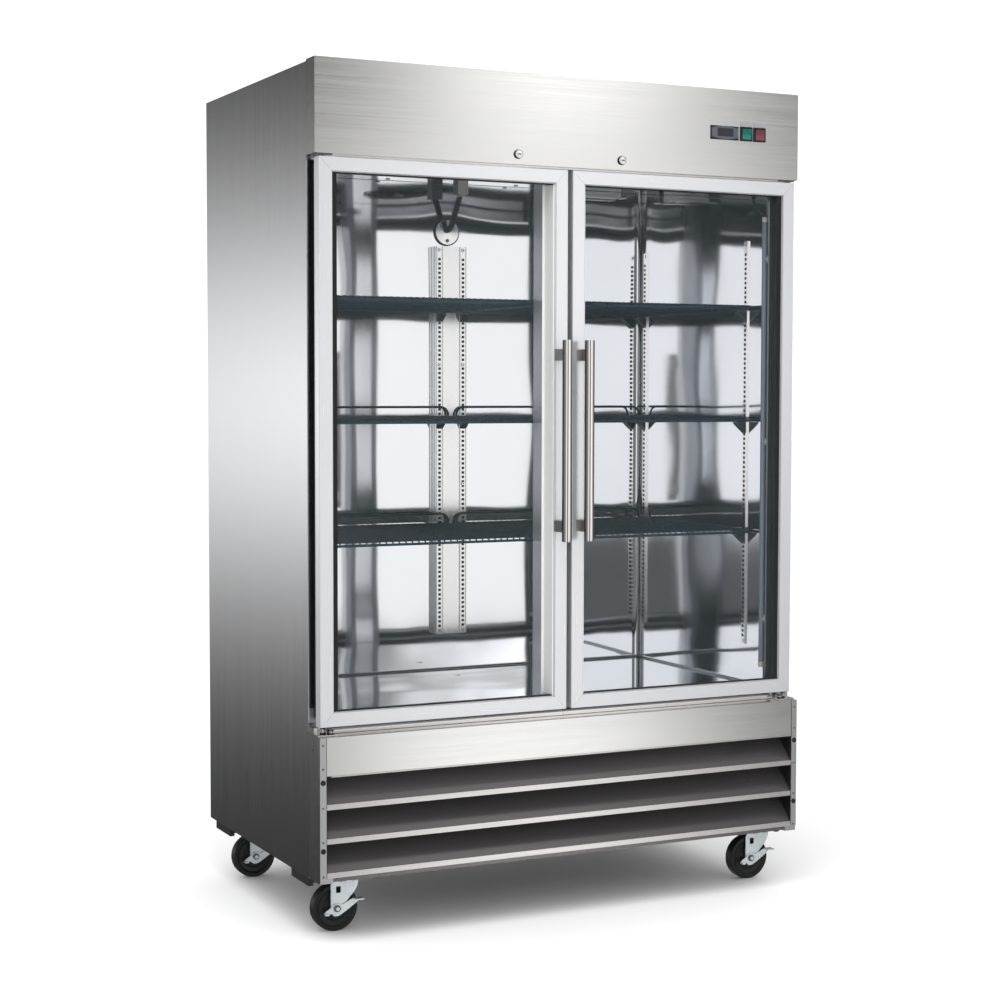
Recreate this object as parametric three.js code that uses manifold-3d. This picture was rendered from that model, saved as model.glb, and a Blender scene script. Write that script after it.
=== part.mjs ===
// Two-door glass door merchandiser on casters, modelled in millimetres with +Z up.
// x = 0 is the middle of the cabinet, y = 0 is the front of the header while the pieces
// are made, and the floor is z = 0. The finished group is moved so that the origin is
// the middle of its footprint on the floor. The doors face -Y.
import * as THREE from 'three';
import { mergeVertices } from 'three/addons/utils/BufferGeometryUtils.js';
import Module from 'manifold-3d';

const wasm = await Module();
wasm.setup();

// ---------------------------------------------------------------- driving dimensions
const GAP = 0.3; // air between touching pieces

const WIDTH = 1372;
const HALF_WIDTH = WIDTH / 2;
const BODY_FRONT = 56.3;
const BODY_BACK = 825;
const BODY_BOTTOM = 150;
const BODY_TOP = 2118;
const SIDE_WALL = 50;
const BACK_WALL = 83;
const FLOOR_TOP = 534;
const FLOOR_THICKNESS = 60;
const CEILING_BOTTOM = 2040;
const COVER_BOTTOM = 1925;

const HEADER_BOTTOM = 1897;
const HEADER_TOP = 2122.6;
const SHEET = 2; // folded sheet
const SKIN = 1.5; // steel skin of an insulated panel
const FILL_HOLE_RADIUS = 14; // the hole that the foam is poured through

const DOOR_BOTTOM = 526;
const DOOR_TOP = 1890;
const DOOR_INSET = 10;
const MEETING_GAP = 13.4;
const STILE = 36;
const RAIL = 34.6;
const FRAME_DEPTH = 32;
const GLASS_FRONT = 6;
const GLASS_THICKNESS = 14;
const GASKET_INSET = 16;
const GASKET_WIDTH = 24;
const PIVOT_FROM_SIDE = 12;
const PIVOT_BEHIND_FACE = 16;

const HANDLE_RADIUS = 12.5;
const HANDLE_LENGTH = 504;
const HANDLE_STANDOFF = 45;
const HANDLE_FROM_EDGE = 25;
const HANDLE_MIDDLE = 1209;
const HANDLE_POST_SPACING = 428;

const BASE_FRONT = -21.5;
const BASE_BOTTOM = 164;
const BASE_TOP = 505.4;
const POST_WIDTH = 16.5;
const KICK_BOTTOM = 412;
const LOUVER_PITCH = 83;
const LOUVER_COUNT = 3;

const SHELF_HEIGHTS = [948, 1252, 1556];
const SHELF_FRONT = 112;
const SHELF_BACK = 712;
const SHELF_THICKNESS = 14;
const SHELF_RAIL_TOP = 41;
const SHELF_SIDE = 620;
const SHELF_MEETING = 8;

const PILASTER_BOTTOM = 640;
const PILASTER_TOP = 1745;
const PILASTER_DEPTH = 12;
const PILASTER_WIDTH = 25;
const PILASTER_PLACES = { front: 160, rear: 702 };
const COLUMN_HALF_WIDTH = 46;
const COLUMN_FRONT = 717;
const MULLION_HALF_WIDTH = 50;
const MULLION_BACK = 107;

const RAIL_BOTTOM = 138;
const RAIL_DEPTH = 120;
const RAIL_FRONTS = { front: 58, rear: 655 };
const CASTER_X = { left: -569, right: 646 };
const CASTER_Y = { front: 110, rear: 715 };
const WHEEL_RADIUS = 59;
const WHEEL_WIDTH = 30;
const WHEEL_TRAIL = 32; // the axle sits this far to -X of the swivel
const CROWN_TOP = 129;

// ---------------------------------------------------------------- materials
function metal(color, roughness, metalness = 1) {
  return new THREE.MeshStandardMaterial({ color, roughness, metalness });
}
const steel = metal(0xb9bab8, 0.35);
const mirrorSteel = metal(0xd6d8da, 0.08);
const darkSteel = metal(0x55595c, 0.45);
const blackSteel = metal(0x1c1d1f, 0.5, 0.6);
const aluminium = metal(0xc9ccd2, 0.4);
const handleSteel = metal(0x9d968e, 0.3);
const zinc = metal(0xc4ccd0, 0.35);
const blackRubber = metal(0x17171a, 0.7, 0);
const glass = new THREE.MeshStandardMaterial({
  color: 0xe8f0f2, roughness: 0.05, metalness: 0, transparent: true, opacity: 0.3,
});
const shelfCoating = metal(0x2b4148, 0.45, 0.1);
const plastic = metal(0x3a4048, 0.5, 0);
const greenLens = metal(0x0f7f63, 0.3, 0);
const redLens = metal(0x7e2418, 0.3, 0);
const coilFins = metal(0x9a9ea2, 0.5);
const lampPlastic = metal(0xe8ecef, 0.4, 0);

// ---------------------------------------------------------------- solid helpers
function toSolid(geometry) {
  const bare = geometry.index ? geometry.clone() : geometry;
  bare.deleteAttribute('normal');
  bare.deleteAttribute('uv');
  const merged = mergeVertices(bare, 1e-4);
  return new wasm.Manifold(new wasm.Mesh({
    numProp: 3,
    vertProperties: new Float32Array(merged.attributes.position.array),
    triVerts: new Uint32Array(merged.index.array),
  }));
}

function fromSolid(solid) {
  const mesh = solid.getMesh();
  const geometry = new THREE.BufferGeometry();
  geometry.setAttribute('position', new THREE.BufferAttribute(mesh.vertProperties, 3));
  geometry.setIndex(new THREE.BufferAttribute(mesh.triVerts, 1));
  return geometry;
}

function join(...geometries) {
  return fromSolid(geometries.map(toSolid).reduce((a, b) => a.add(b)));
}

function cut(geometry, ...tools) {
  return fromSolid(tools.map(toSolid).reduce((a, b) => a.subtract(b), toSolid(geometry)));
}

// A box from its lowest to its highest corner.
function box(x0, x1, y0, y1, z0, z1) {
  const geometry = new THREE.BoxGeometry(x1 - x0, y1 - y0, z1 - z0);
  geometry.translate((x0 + x1) / 2, (y0 + y1) / 2, (z0 + z1) / 2);
  return geometry;
}

// A section given as [y, z] points, run along X.
function alongX(points, x0, x1) {
  const shape = new THREE.Shape(points.map(([y, z]) => new THREE.Vector2(y, z)));
  const geometry = new THREE.ExtrudeGeometry(shape, { depth: x1 - x0, bevelEnabled: false });
  const toAxes = new THREE.Matrix4().makeBasis(
    new THREE.Vector3(0, 1, 0), new THREE.Vector3(0, 0, 1), new THREE.Vector3(1, 0, 0));
  geometry.applyMatrix4(toAxes);
  geometry.translate(x0, 0, 0);
  return geometry;
}

// An outline given as [x, z] points, run along Y, with optional [x, z] holes.
function alongY(points, y0, y1, holes = []) {
  const toVectors = (list) => list.map(([x, z]) => new THREE.Vector2(x, z));
  const shape = new THREE.Shape(toVectors(points));
  holes.forEach((hole) => shape.holes.push(new THREE.Path(toVectors(hole))));
  const geometry = new THREE.ExtrudeGeometry(shape, { depth: y1 - y0, bevelEnabled: false });
  geometry.rotateX(Math.PI / 2);
  geometry.translate(0, y1, 0);
  return geometry;
}

function rectangle(x0, x1, z0, z1) {
  return [[x0, z0], [x1, z0], [x1, z1], [x0, z1]];
}

function circle(x, z, radius, sides = 24) {
  return Array.from({ length: sides }, (_, i) => {
    const angle = (2 * Math.PI * i) / sides;
    return [x + radius * Math.cos(angle), z + radius * Math.sin(angle)];
  });
}

// A cylinder along Y or Z from one end to the other.
function roundAlongY(x, z, radius, y0, y1, sides = 24) {
  return alongY(circle(x, z, radius, sides), y0, y1);
}

function roundAlongZ(x, y, radius, z0, z1, sides = 24) {
  const geometry = new THREE.CylinderGeometry(radius, radius, z1 - z0, sides);
  geometry.rotateX(Math.PI / 2);
  geometry.translate(x, y, (z0 + z1) / 2);
  return geometry;
}

const merchandiser = new THREE.Group();

function add(name, geometry, material, position = [0, 0, 0], parent = merchandiser) {
  const mesh = new THREE.Mesh(geometry, material);
  mesh.name = name;
  mesh.position.set(...position);
  parent.add(mesh);
  return mesh;
}

// ---------------------------------------------------------------- insulated cabinet
// A panel of thin skins round a foam space, which is reached by its fill hole. `hole` is
// the middle of that hole, and `axis` the direction it is drilled in.
function panel(x0, x1, y0, y1, z0, z1, hole, axis) {
  const foam = box(x0 + SKIN, x1 - SKIN, y0 + SKIN, y1 - SKIN, z0 + SKIN, z1 - SKIN);
  const [x, y, z] = hole;
  const drill = axis === 'y'
    ? roundAlongY(x, z, FILL_HOLE_RADIUS, y - 2 * SKIN, y + 2 * SKIN, 16)
    : roundAlongZ(x, y, FILL_HOLE_RADIUS, z - 2 * SKIN, z + 2 * SKIN, 16);
  return cut(box(x0, x1, y0, y1, z0, z1), foam, drill);
}

const innerSide = HALF_WIDTH - SIDE_WALL;
const linerSide = innerSide - GAP;
const linerBack = BODY_BACK - BACK_WALL;
const liningBack = linerBack - GAP;

function addCabinet() {
  const wallMiddle = HALF_WIDTH - SIDE_WALL / 2;
  const fillY = (BODY_FRONT + BODY_BACK) / 2;
  add('left_wall', panel(-HALF_WIDTH, -innerSide, BODY_FRONT, BODY_BACK, BODY_BOTTOM, BODY_TOP,
    [-wallMiddle, fillY, BODY_BOTTOM]), steel);
  add('right_wall', panel(innerSide, HALF_WIDTH, BODY_FRONT, BODY_BACK, BODY_BOTTOM, BODY_TOP,
    [wallMiddle, fillY, BODY_BOTTOM]), steel);
  add('back_wall', panel(-linerSide, linerSide, linerBack, BODY_BACK, BODY_BOTTOM, BODY_TOP,
    [0, BODY_BACK - BACK_WALL / 2, BODY_BOTTOM]), steel);
  add('ceiling_panel', panel(-linerSide, linerSide, BODY_FRONT, liningBack, CEILING_BOTTOM,
    BODY_TOP, [0, liningBack, (CEILING_BOTTOM + BODY_TOP) / 2], 'y'), steel);
  const deckBottom = FLOOR_TOP - FLOOR_THICKNESS;
  add('floor_deck', panel(-linerSide, linerSide, BODY_FRONT, liningBack, deckBottom, FLOOR_TOP,
    [0, fillY, deckBottom]), mirrorSteel);
  add('centre_mullion', panel(-MULLION_HALF_WIDTH, MULLION_HALF_WIDTH, BODY_FRONT,
    MULLION_BACK, FLOOR_TOP + GAP, CEILING_BOTTOM - GAP,
    [0, (BODY_FRONT + MULLION_BACK) / 2, CEILING_BOTTOM - GAP]), mirrorSteel);
  add('rear_column',
    box(-COLUMN_HALF_WIDTH, COLUMN_HALF_WIDTH, COLUMN_FRONT, liningBack,
      PILASTER_BOTTOM, PILASTER_TOP), mirrorSteel);
  for (const [place, y] of Object.entries(PILASTER_PLACES)) {
    const [y0, y1] = [y - PILASTER_WIDTH / 2, y + PILASTER_WIDTH / 2];
    const inner = linerSide - PILASTER_DEPTH;
    add(`left_${place}_pilaster`,
      box(-linerSide, -inner, y0, y1, PILASTER_BOTTOM, PILASTER_TOP), mirrorSteel);
    add(`right_${place}_pilaster`,
      box(inner, linerSide, y0, y1, PILASTER_BOTTOM, PILASTER_TOP), mirrorSteel);
  }
}

// The bottom edge of the door opening, a rounded strip above the kick panel.
function addSill() {
  const [front, bottom, top, radius] = [30, BASE_TOP + GAP, 522, 10];
  const corner = Array.from({ length: 7 }, (_, i) => {
    const angle = Math.PI - (Math.PI / 2) * (i / 6);
    return [front + radius + radius * Math.cos(angle), top - radius + radius * Math.sin(angle)];
  });
  const back = BODY_FRONT - GAP;
  add('front_sill', alongX([[back, bottom], [front, bottom], ...corner, [back, top]],
    -linerSide, linerSide), steel);
}

// Tubular strip lamp standing in the right jamb.
function addLamp() {
  add('right_lamp', roundAlongZ(626, 64.5, 7, 588, 1802, 12), lampPlastic);
}

// ---------------------------------------------------------------- cold side, above the ceiling cover
const FAN_BLADES = 5;
function fan(radius, hubRadius, thickness) {
  const hub = roundAlongZ(0, 0, hubRadius, -thickness / 2, thickness / 2, 16);
  const blades = Array.from({ length: FAN_BLADES }, (_, i) => {
    const blade = new THREE.BoxGeometry(radius - hubRadius / 2, radius * 0.42, 2.5);
    blade.rotateX(0.45);
    blade.translate((radius + hubRadius / 2) / 2, 0, 0);
    blade.rotateZ((2 * Math.PI * i) / FAN_BLADES);
    return blade;
  });
  return join(hub, ...blades);
}

function addColdSide() {
  const front = MULLION_BACK + GAP;
  const back = 733; // leaves the air slot along the back wall
  const top = CEILING_BOTTOM - GAP;
  const profile = [
    [front, top], [front, COVER_BOTTOM], [back, COVER_BOTTOM], [back, COVER_BOTTOM + SHEET],
    [front + SHEET, COVER_BOTTOM + SHEET], [front + SHEET, top],
  ];
  const cover = alongX(profile, -linerSide, linerSide);
  const fanHole = roundAlongZ(0, 400, 108, COVER_BOTTOM - 5, COVER_BOTTOM + SHEET + 5, 32);
  add('evaporator_cover', cut(cover, fanHole), mirrorSteel);
  add('evaporator_coil', box(160, 560, 250, 620, 1945, 2030), coilFins);
  add('evaporator_fan', fan(96, 26, 24), plastic, [0, 400, 1958]);
}

// ---------------------------------------------------------------- machine compartment
function addMachine() {
  const panTop = 150.5;
  const [plateHalfX, plateHalfY] = [105, 85];
  const plate = box(-plateHalfX, plateHalfX, -plateHalfY, plateHalfY, 0, 6);
  const shellProfile = [[0, 4], [70, 4], [88, 25], [92, 60], [92, 120], [80, 165], [45, 190], [0, 198]];
  const shell = new THREE.LatheGeometry(shellProfile.map(([r, z]) => new THREE.Vector2(r, z)), 24);
  shell.rotateX(Math.PI / 2);
  add('compressor', join(plate, shell), blackSteel, [-330, 430, panTop + GAP]);
  add('condenser', box(20, 480, 190, 250, panTop + GAP, 400), coilFins);
  const blower = fan(104, 28, 26);
  blower.rotateX(Math.PI / 2);
  add('condenser_fan', blower, plastic, [250, 290, 278]);
}

// ---------------------------------------------------------------- header and its controls
const LOCK_X = 147.5;
const LOCK_Z = 1921.5;
const LOCK_RADIUS = 9;
const CONTROLLER = { x: 455, z: 2009.6, width: 84, height: 34 };
const SWITCHES = { green_switch: 522, red_switch: 563.5 };
const SWITCH_Z = 2010;
const SWITCH_WIDTH = 25;
const SWITCH_HEIGHT = 25;
const SWITCH_TILT = THREE.MathUtils.degToRad(8);

function addHeader() {
  const shell = box(-HALF_WIDTH, HALF_WIDTH, 0, BODY_FRONT - GAP, HEADER_BOTTOM, HEADER_TOP);
  const hollow = box(-HALF_WIDTH + SHEET, HALF_WIDTH - SHEET, SHEET, BODY_FRONT + 5,
    HEADER_BOTTOM + SHEET, HEADER_TOP - SHEET);
  const throughFront = (x, z, width, height) =>
    box(x - width / 2, x + width / 2, -5, SHEET + 5, z - height / 2, z + height / 2);
  const holes = [
    roundAlongY(-LOCK_X, LOCK_Z, LOCK_RADIUS + 0.6, -5, SHEET + 5),
    roundAlongY(LOCK_X, LOCK_Z, LOCK_RADIUS + 0.6, -5, SHEET + 5),
    throughFront(CONTROLLER.x, CONTROLLER.z, 74, 29),
    ...Object.values(SWITCHES).map((x) =>
      throughFront(x, SWITCH_Z, SWITCH_WIDTH + 2, SWITCH_HEIGHT + 3)),
  ];
  add('header', cut(shell, hollow, ...holes), steel);
}

// A barrel with a collar in front and a short cam behind, turned by its key.
function addLocks() {
  const barrel = roundAlongY(0, 0, LOCK_RADIUS, -3, 24);
  const collar = roundAlongY(0, 0, 11, -3, -GAP);
  const cam = box(-6, 19, 21, 24, -6, 6);
  const keyway = box(-4, 4, -6, 4, -1, 1);
  const lock = cut(join(barrel, collar, cam), keyway);
  add('left_lock', lock, zinc, [-LOCK_X, 0, LOCK_Z]);
  add('right_lock', lock.clone(), zinc, [LOCK_X, 0, LOCK_Z]);
}

function addControls() {
  const { x, z, width, height } = CONTROLLER;
  const bezel = box(-width / 2, width / 2, -5, -GAP, -height / 2, height / 2);
  const housing = box(-36, 36, -2, 45, -13.5, 13.5);
  add('controller', join(bezel, housing), plastic, [x, 0, z]);
  const half = SWITCH_HEIGHT / 2;
  for (const [name, switchX] of Object.entries(SWITCHES)) {
    const rocker = alongX([[-5, -half], [-2.5, 0], [-5, half], [7, half], [7, -half]],
      -SWITCH_WIDTH / 2, SWITCH_WIDTH / 2);
    rocker.rotateX(SWITCH_TILT);
    add(name, rocker, name.startsWith('green') ? greenLens : redLens, [switchX, 0, SWITCH_Z]);
  }
}

// ---------------------------------------------------------------- base: posts, kick panel, louvers
function addBase() {
  const innerPost = HALF_WIDTH - POST_WIDTH;
  const back = BODY_FRONT - GAP;
  for (const [side, x0] of [['left', -HALF_WIDTH], ['right', innerPost]]) {
    const outside = box(x0, x0 + POST_WIDTH, BASE_FRONT, back, BASE_BOTTOM, BASE_TOP);
    const inside = box(x0 + SHEET, x0 + POST_WIDTH - SHEET, BASE_FRONT + SHEET, back + 5,
      BASE_BOTTOM + SHEET, BASE_TOP - SHEET);
    add(`${side}_post`, cut(outside, inside), steel);
  }
  const side = innerPost - GAP;
  const [faceBack, lip] = [BASE_FRONT + SHEET, 12];
  add('kick_panel', alongX([
    [BASE_FRONT, KICK_BOTTOM], [faceBack + lip, KICK_BOTTOM], [faceBack + lip, KICK_BOTTOM + SHEET],
    [faceBack, KICK_BOTTOM + SHEET], [faceBack, BASE_TOP - SHEET], [back, BASE_TOP - SHEET],
    [back, BASE_TOP], [BASE_FRONT, BASE_TOP],
  ], -side, side), steel);
  const [lipHeight, bladeBack, bladeRise] = [13, 36, 70];
  for (let i = 0; i < LOUVER_COUNT; i += 1) {
    const z = BASE_BOTTOM + LOUVER_PITCH * (LOUVER_COUNT - 1 - i);
    add(`louver_${i + 1}`, alongX([
      [BASE_FRONT, z], [faceBack, z], [faceBack, z + lipHeight - SHEET],
      [bladeBack, z + bladeRise - SHEET], [bladeBack, z + bladeRise],
      [faceBack, z + lipHeight], [BASE_FRONT, z + lipHeight],
    ], -side, side), darkSteel);
  }
}

// Pan that closes the bottom, with two cross rails, their end lips and the caster plates.
function addBaseFrame() {
  const [panBottom, panTop, railTop] = [148, 150.5, BODY_BOTTOM - GAP];
  const pieces = [box(-linerSide, linerSide, BODY_FRONT + 1, linerBack - 1, panBottom, panTop)];
  const [lipWidth, lipBottom, railSheet] = [12, 130.5, 3];
  for (const y of Object.values(RAIL_FRONTS)) {
    const back = y + RAIL_DEPTH;
    pieces.push(box(-HALF_WIDTH, HALF_WIDTH, y, back, RAIL_BOTTOM, RAIL_BOTTOM + railSheet));
    pieces.push(box(-HALF_WIDTH, HALF_WIDTH, y, y + railSheet, RAIL_BOTTOM, railTop));
    pieces.push(box(-HALF_WIDTH, HALF_WIDTH, back - railSheet, back, RAIL_BOTTOM, railTop));
    pieces.push(box(-HALF_WIDTH, -HALF_WIDTH + lipWidth, y, y + RAIL_DEPTH, lipBottom, railTop));
    pieces.push(box(HALF_WIDTH - lipWidth, HALF_WIDTH, y, y + RAIL_DEPTH, lipBottom, railTop));
  }
  const [plateHalfX, plateHalfY, plateThickness, raceRadius] = [40, 44, 3, 24];
  for (const x of Object.values(CASTER_X)) {
    for (const y of Object.values(CASTER_Y)) {
      pieces.push(box(x - plateHalfX, x + plateHalfX, y - plateHalfY, y + plateHalfY,
        RAIL_BOTTOM - plateThickness, RAIL_BOTTOM + 1));
      pieces.push(roundAlongZ(x, y, raceRadius, CROWN_TOP + GAP, RAIL_BOTTOM + 1));
    }
  }
  add('base_frame', join(...pieces), blackSteel);
}

// ---------------------------------------------------------------- casters
const LEG_INNER = WHEEL_WIDTH / 2 + 3;
const LEG_OUTER = LEG_INNER + 3;
const AXLE_Z = WHEEL_RADIUS;
const LEVER_THICKNESS = 3;

function forkGeometry() {
  const leg = [
    [-47, CROWN_TOP], [26, CROWN_TOP], [25, 112], [14, 94], [-6, 74], [-20, 52], [-32, 44],
    [-44, 50], [-47, 62],
  ];
  const crown = box(-24, 26, -LEG_OUTER, LEG_OUTER, CROWN_TOP - 5, CROWN_TOP);
  const axleFront = -LEG_OUTER - LEVER_THICKNESS - 2 * GAP - 5;
  return join(
    crown,
    alongY(leg, -LEG_OUTER, -LEG_INNER),
    alongY(leg, LEG_INNER, LEG_OUTER),
    roundAlongY(-WHEEL_TRAIL, AXLE_Z, 5, axleFront, LEG_OUTER + 6, 12),
    roundAlongY(-WHEEL_TRAIL, AXLE_Z, 9, axleFront, axleFront + 5, 12),
    roundAlongY(-WHEEL_TRAIL, AXLE_Z, 9, LEG_OUTER, LEG_OUTER + 6, 12),
  );
}

function wheelGeometry() {
  const [half, hubHalf, bore] = [WHEEL_WIDTH / 2, WHEEL_WIDTH / 2 + 2, 6];
  const profile = [
    [bore, -hubHalf], [15, -hubHalf], [18, -half + 5], [46, -half + 4], [50, -half],
    [WHEEL_RADIUS - 3, -half], [WHEEL_RADIUS, -half + 4], [WHEEL_RADIUS, half - 4],
    [WHEEL_RADIUS - 3, half], [50, half], [46, half - 4], [18, half - 5], [15, hubHalf],
    [bore, hubHalf], [bore, -hubHalf],
  ];
  return new THREE.LatheGeometry(profile.map(([r, y]) => new THREE.Vector2(r, y)), 32);
}

// Flat lever round the axle bolt, with a foot pedal standing out at its high end.
function leverGeometry() {
  const front = -LEG_OUTER - GAP - LEVER_THICKNESS;
  const outline = [
    [-34, -8], [-30, -14], [-14, -12], [-8, -20], [4, -20], [22, -10], [58, 14],
    [60, 22], [46, 24], [14, 8], [8, 12], [-8, 12], [-14, 4],
  ];
  const plate = alongY(outline, front, front + LEVER_THICKNESS, [circle(0, 0, 6, 12)]);
  const pedal = box(42, 64, front - 20, front + 1, 20, 23);
  const heel = box(-34, -24, front - 12, front + 1, -13, -10);
  return join(plate, pedal, heel);
}

function addCasters() {
  for (const [end, y] of Object.entries(CASTER_Y)) {
    for (const [side, x] of Object.entries(CASTER_X)) {
      const name = `${end}_${side}`;
      add(`${name}_fork`, forkGeometry(), zinc, [x, y, 0]);
      const axle = [x - WHEEL_TRAIL, y, AXLE_Z];
      add(`${name}_wheel`, wheelGeometry(), blackRubber, axle);
      add(`${name}_brake_lever`, leverGeometry(), zinc, axle);
    }
  }
}

// ---------------------------------------------------------------- doors
function addDoor(side) {
  const sign = side === 'left' ? -1 : 1;
  const span = (a, b) => [Math.min(sign * a, sign * b), Math.max(sign * a, sign * b)];
  const [meeting, outer] = [MEETING_GAP / 2, HALF_WIDTH - DOOR_INSET];

  const ring = (inset, width, height, y0, y1) => {
    const [x0, x1] = span(meeting + inset, outer - inset);
    const [z0, z1] = [DOOR_BOTTOM + inset, DOOR_TOP - inset];
    const hole = rectangle(x0 + width, x1 - width, z0 + height, z1 - height);
    return alongY(rectangle(x0, x1, z0, z1), y0, y1, [hole]);
  };
  add(`${side}_door_frame`, ring(0, STILE, RAIL, 0, FRAME_DEPTH), aluminium);
  add(`${side}_door_gasket`,
    ring(GASKET_INSET, GASKET_WIDTH, GASKET_WIDTH, FRAME_DEPTH + GAP, BODY_FRONT - GAP),
    blackRubber);

  const [g0, g1] = span(meeting + STILE + GAP, outer - STILE - GAP);
  add(`${side}_door_glass`, box(g0, g1, GLASS_FRONT, GLASS_FRONT + GLASS_THICKNESS,
    DOOR_BOTTOM + RAIL + GAP, DOOR_TOP - RAIL - GAP), glass);

  const x = sign * (meeting + HANDLE_FROM_EDGE);
  const bar = roundAlongZ(x, -HANDLE_STANDOFF, HANDLE_RADIUS,
    HANDLE_MIDDLE - HANDLE_LENGTH / 2, HANDLE_MIDDLE + HANDLE_LENGTH / 2);
  const posts = [-1, 1].map((end) => {
    const z = HANDLE_MIDDLE + (end * HANDLE_POST_SPACING) / 2;
    return box(x - 10, x + 10, -HANDLE_STANDOFF, -GAP, z - 14, z + 14);
  });
  add(`${side}_door_handle`, join(bar, ...posts), handleSteel);
}

// Bracket on the base with the pin that the door stands on.
function addHinge(side) {
  const sign = side === 'left' ? -1 : 1;
  const pivot = sign * (HALF_WIDTH - DOOR_INSET - PIVOT_FROM_SIDE);
  const bottom = BASE_TOP + GAP;
  const edges = [sign * HALF_WIDTH, sign * (HALF_WIDTH - 46)].sort((a, b) => a - b);
  add(`${side}_hinge`, join(
    box(...edges, -8, BODY_FRONT - 1, bottom, bottom + 5),
    roundAlongZ(pivot, PIVOT_BEHIND_FACE, 9, bottom + 3, bottom + 11),
    roundAlongZ(pivot, PIVOT_BEHIND_FACE, 6, bottom + 3, DOOR_BOTTOM - GAP),
  ), zinc);
}

// ---------------------------------------------------------------- shelves
// The wire deck is drawn as a thin plate, with its edges as deep as the welded edge wires
// and the upstand along its back edge.
function shelfGeometry() {
  const width = SHELF_SIDE - SHELF_MEETING;
  const [edge, deck, upstand] = [5, 2, 5];
  const outside = alongX([
    [SHELF_FRONT, 0], [SHELF_BACK, 0], [SHELF_BACK, SHELF_RAIL_TOP],
    [SHELF_BACK - upstand, SHELF_RAIL_TOP], [SHELF_BACK - upstand, SHELF_THICKNESS],
    [SHELF_FRONT, SHELF_THICKNESS],
  ], 0, width);
  const under = box(edge, width - edge, SHELF_FRONT + edge, SHELF_BACK - edge, -1,
    SHELF_THICKNESS - deck);
  return cut(outside, under);
}

function addShelves() {
  const levels = ['lower', 'middle', 'upper'];
  SHELF_HEIGHTS.forEach((z, i) => {
    add(`left_${levels[i]}_shelf`, shelfGeometry(), shelfCoating, [-SHELF_SIDE, 0, z]);
    add(`right_${levels[i]}_shelf`, shelfGeometry(), shelfCoating, [SHELF_MEETING, 0, z]);
  });
}

// ---------------------------------------------------------------- assembly
addCabinet();
addSill();
addLamp();
addColdSide();
addMachine();
addHeader();
addLocks();
addControls();
addBase();
addBaseFrame();
addCasters();
for (const side of ['left', 'right']) {
  addDoor(side);
  addHinge(side);
}
addShelves();

// The handles reach furthest forward and the back wall furthest back.
const frontMost = -HANDLE_STANDOFF - HANDLE_RADIUS;
merchandiser.position.y = -(frontMost + BODY_BACK) / 2;

export default merchandiser;
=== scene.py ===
# Two-door glass door merchandiser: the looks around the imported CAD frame.
# Lengths are written in millimetres in the cabinet's own frame (x = 0 at the middle,
# y = 0 at the front of the header, z = 0 on the floor) and turned into metres on the way out.
import math

import bmesh
import bpy
from mathutils import Matrix, Vector, noise


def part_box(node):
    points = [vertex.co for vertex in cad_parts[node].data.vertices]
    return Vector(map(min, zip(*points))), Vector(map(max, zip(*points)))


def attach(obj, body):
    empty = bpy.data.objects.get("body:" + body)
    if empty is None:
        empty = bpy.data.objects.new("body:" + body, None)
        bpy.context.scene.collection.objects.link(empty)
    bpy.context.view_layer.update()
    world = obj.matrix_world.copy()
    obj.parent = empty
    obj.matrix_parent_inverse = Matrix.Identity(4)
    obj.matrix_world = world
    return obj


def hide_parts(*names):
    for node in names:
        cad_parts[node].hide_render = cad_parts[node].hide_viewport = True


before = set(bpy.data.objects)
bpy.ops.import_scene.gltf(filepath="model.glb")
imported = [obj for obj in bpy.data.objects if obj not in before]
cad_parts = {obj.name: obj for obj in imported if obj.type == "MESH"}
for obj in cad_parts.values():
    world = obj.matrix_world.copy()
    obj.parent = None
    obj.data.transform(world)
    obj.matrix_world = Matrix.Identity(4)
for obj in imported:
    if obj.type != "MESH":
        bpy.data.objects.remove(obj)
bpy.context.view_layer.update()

MM = 0.001
DEGREES = 180 / math.pi
HEADER_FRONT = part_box("header")[0].y


def place(x, y, z):
    """A point given in millimetres in the cabinet's frame, in metres in the row frame."""
    return Vector((x * MM, HEADER_FRONT + y * MM, z * MM))


# ------------------------------------------------------------------ camera
CAMERA_AT = (-2362.3, -4391.3, 1332.6)
CAMERA_YAW = 26.249
CAMERA_PITCH = -3.141
CAMERA_ROLL = 0.097
CAMERA_LENS = 70.84


def make_camera():
    data = bpy.data.cameras.new("camera")
    data.lens = CAMERA_LENS
    data.sensor_width = 36
    data.clip_end = 200
    cam = bpy.data.objects.new("camera", data)
    bpy.context.scene.collection.objects.link(cam)
    cam.location = place(*CAMERA_AT)
    yaw, pitch, roll = map(math.radians, (-CAMERA_YAW, CAMERA_PITCH, CAMERA_ROLL))
    turn = (Matrix.Rotation(yaw, 4, "Z") @ Matrix.Rotation(math.pi / 2 + pitch, 4, "X")
            @ Matrix.Rotation(roll, 4, "Z"))
    cam.rotation_euler = turn.to_euler()
    bpy.context.scene.camera = cam


make_camera()


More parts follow.
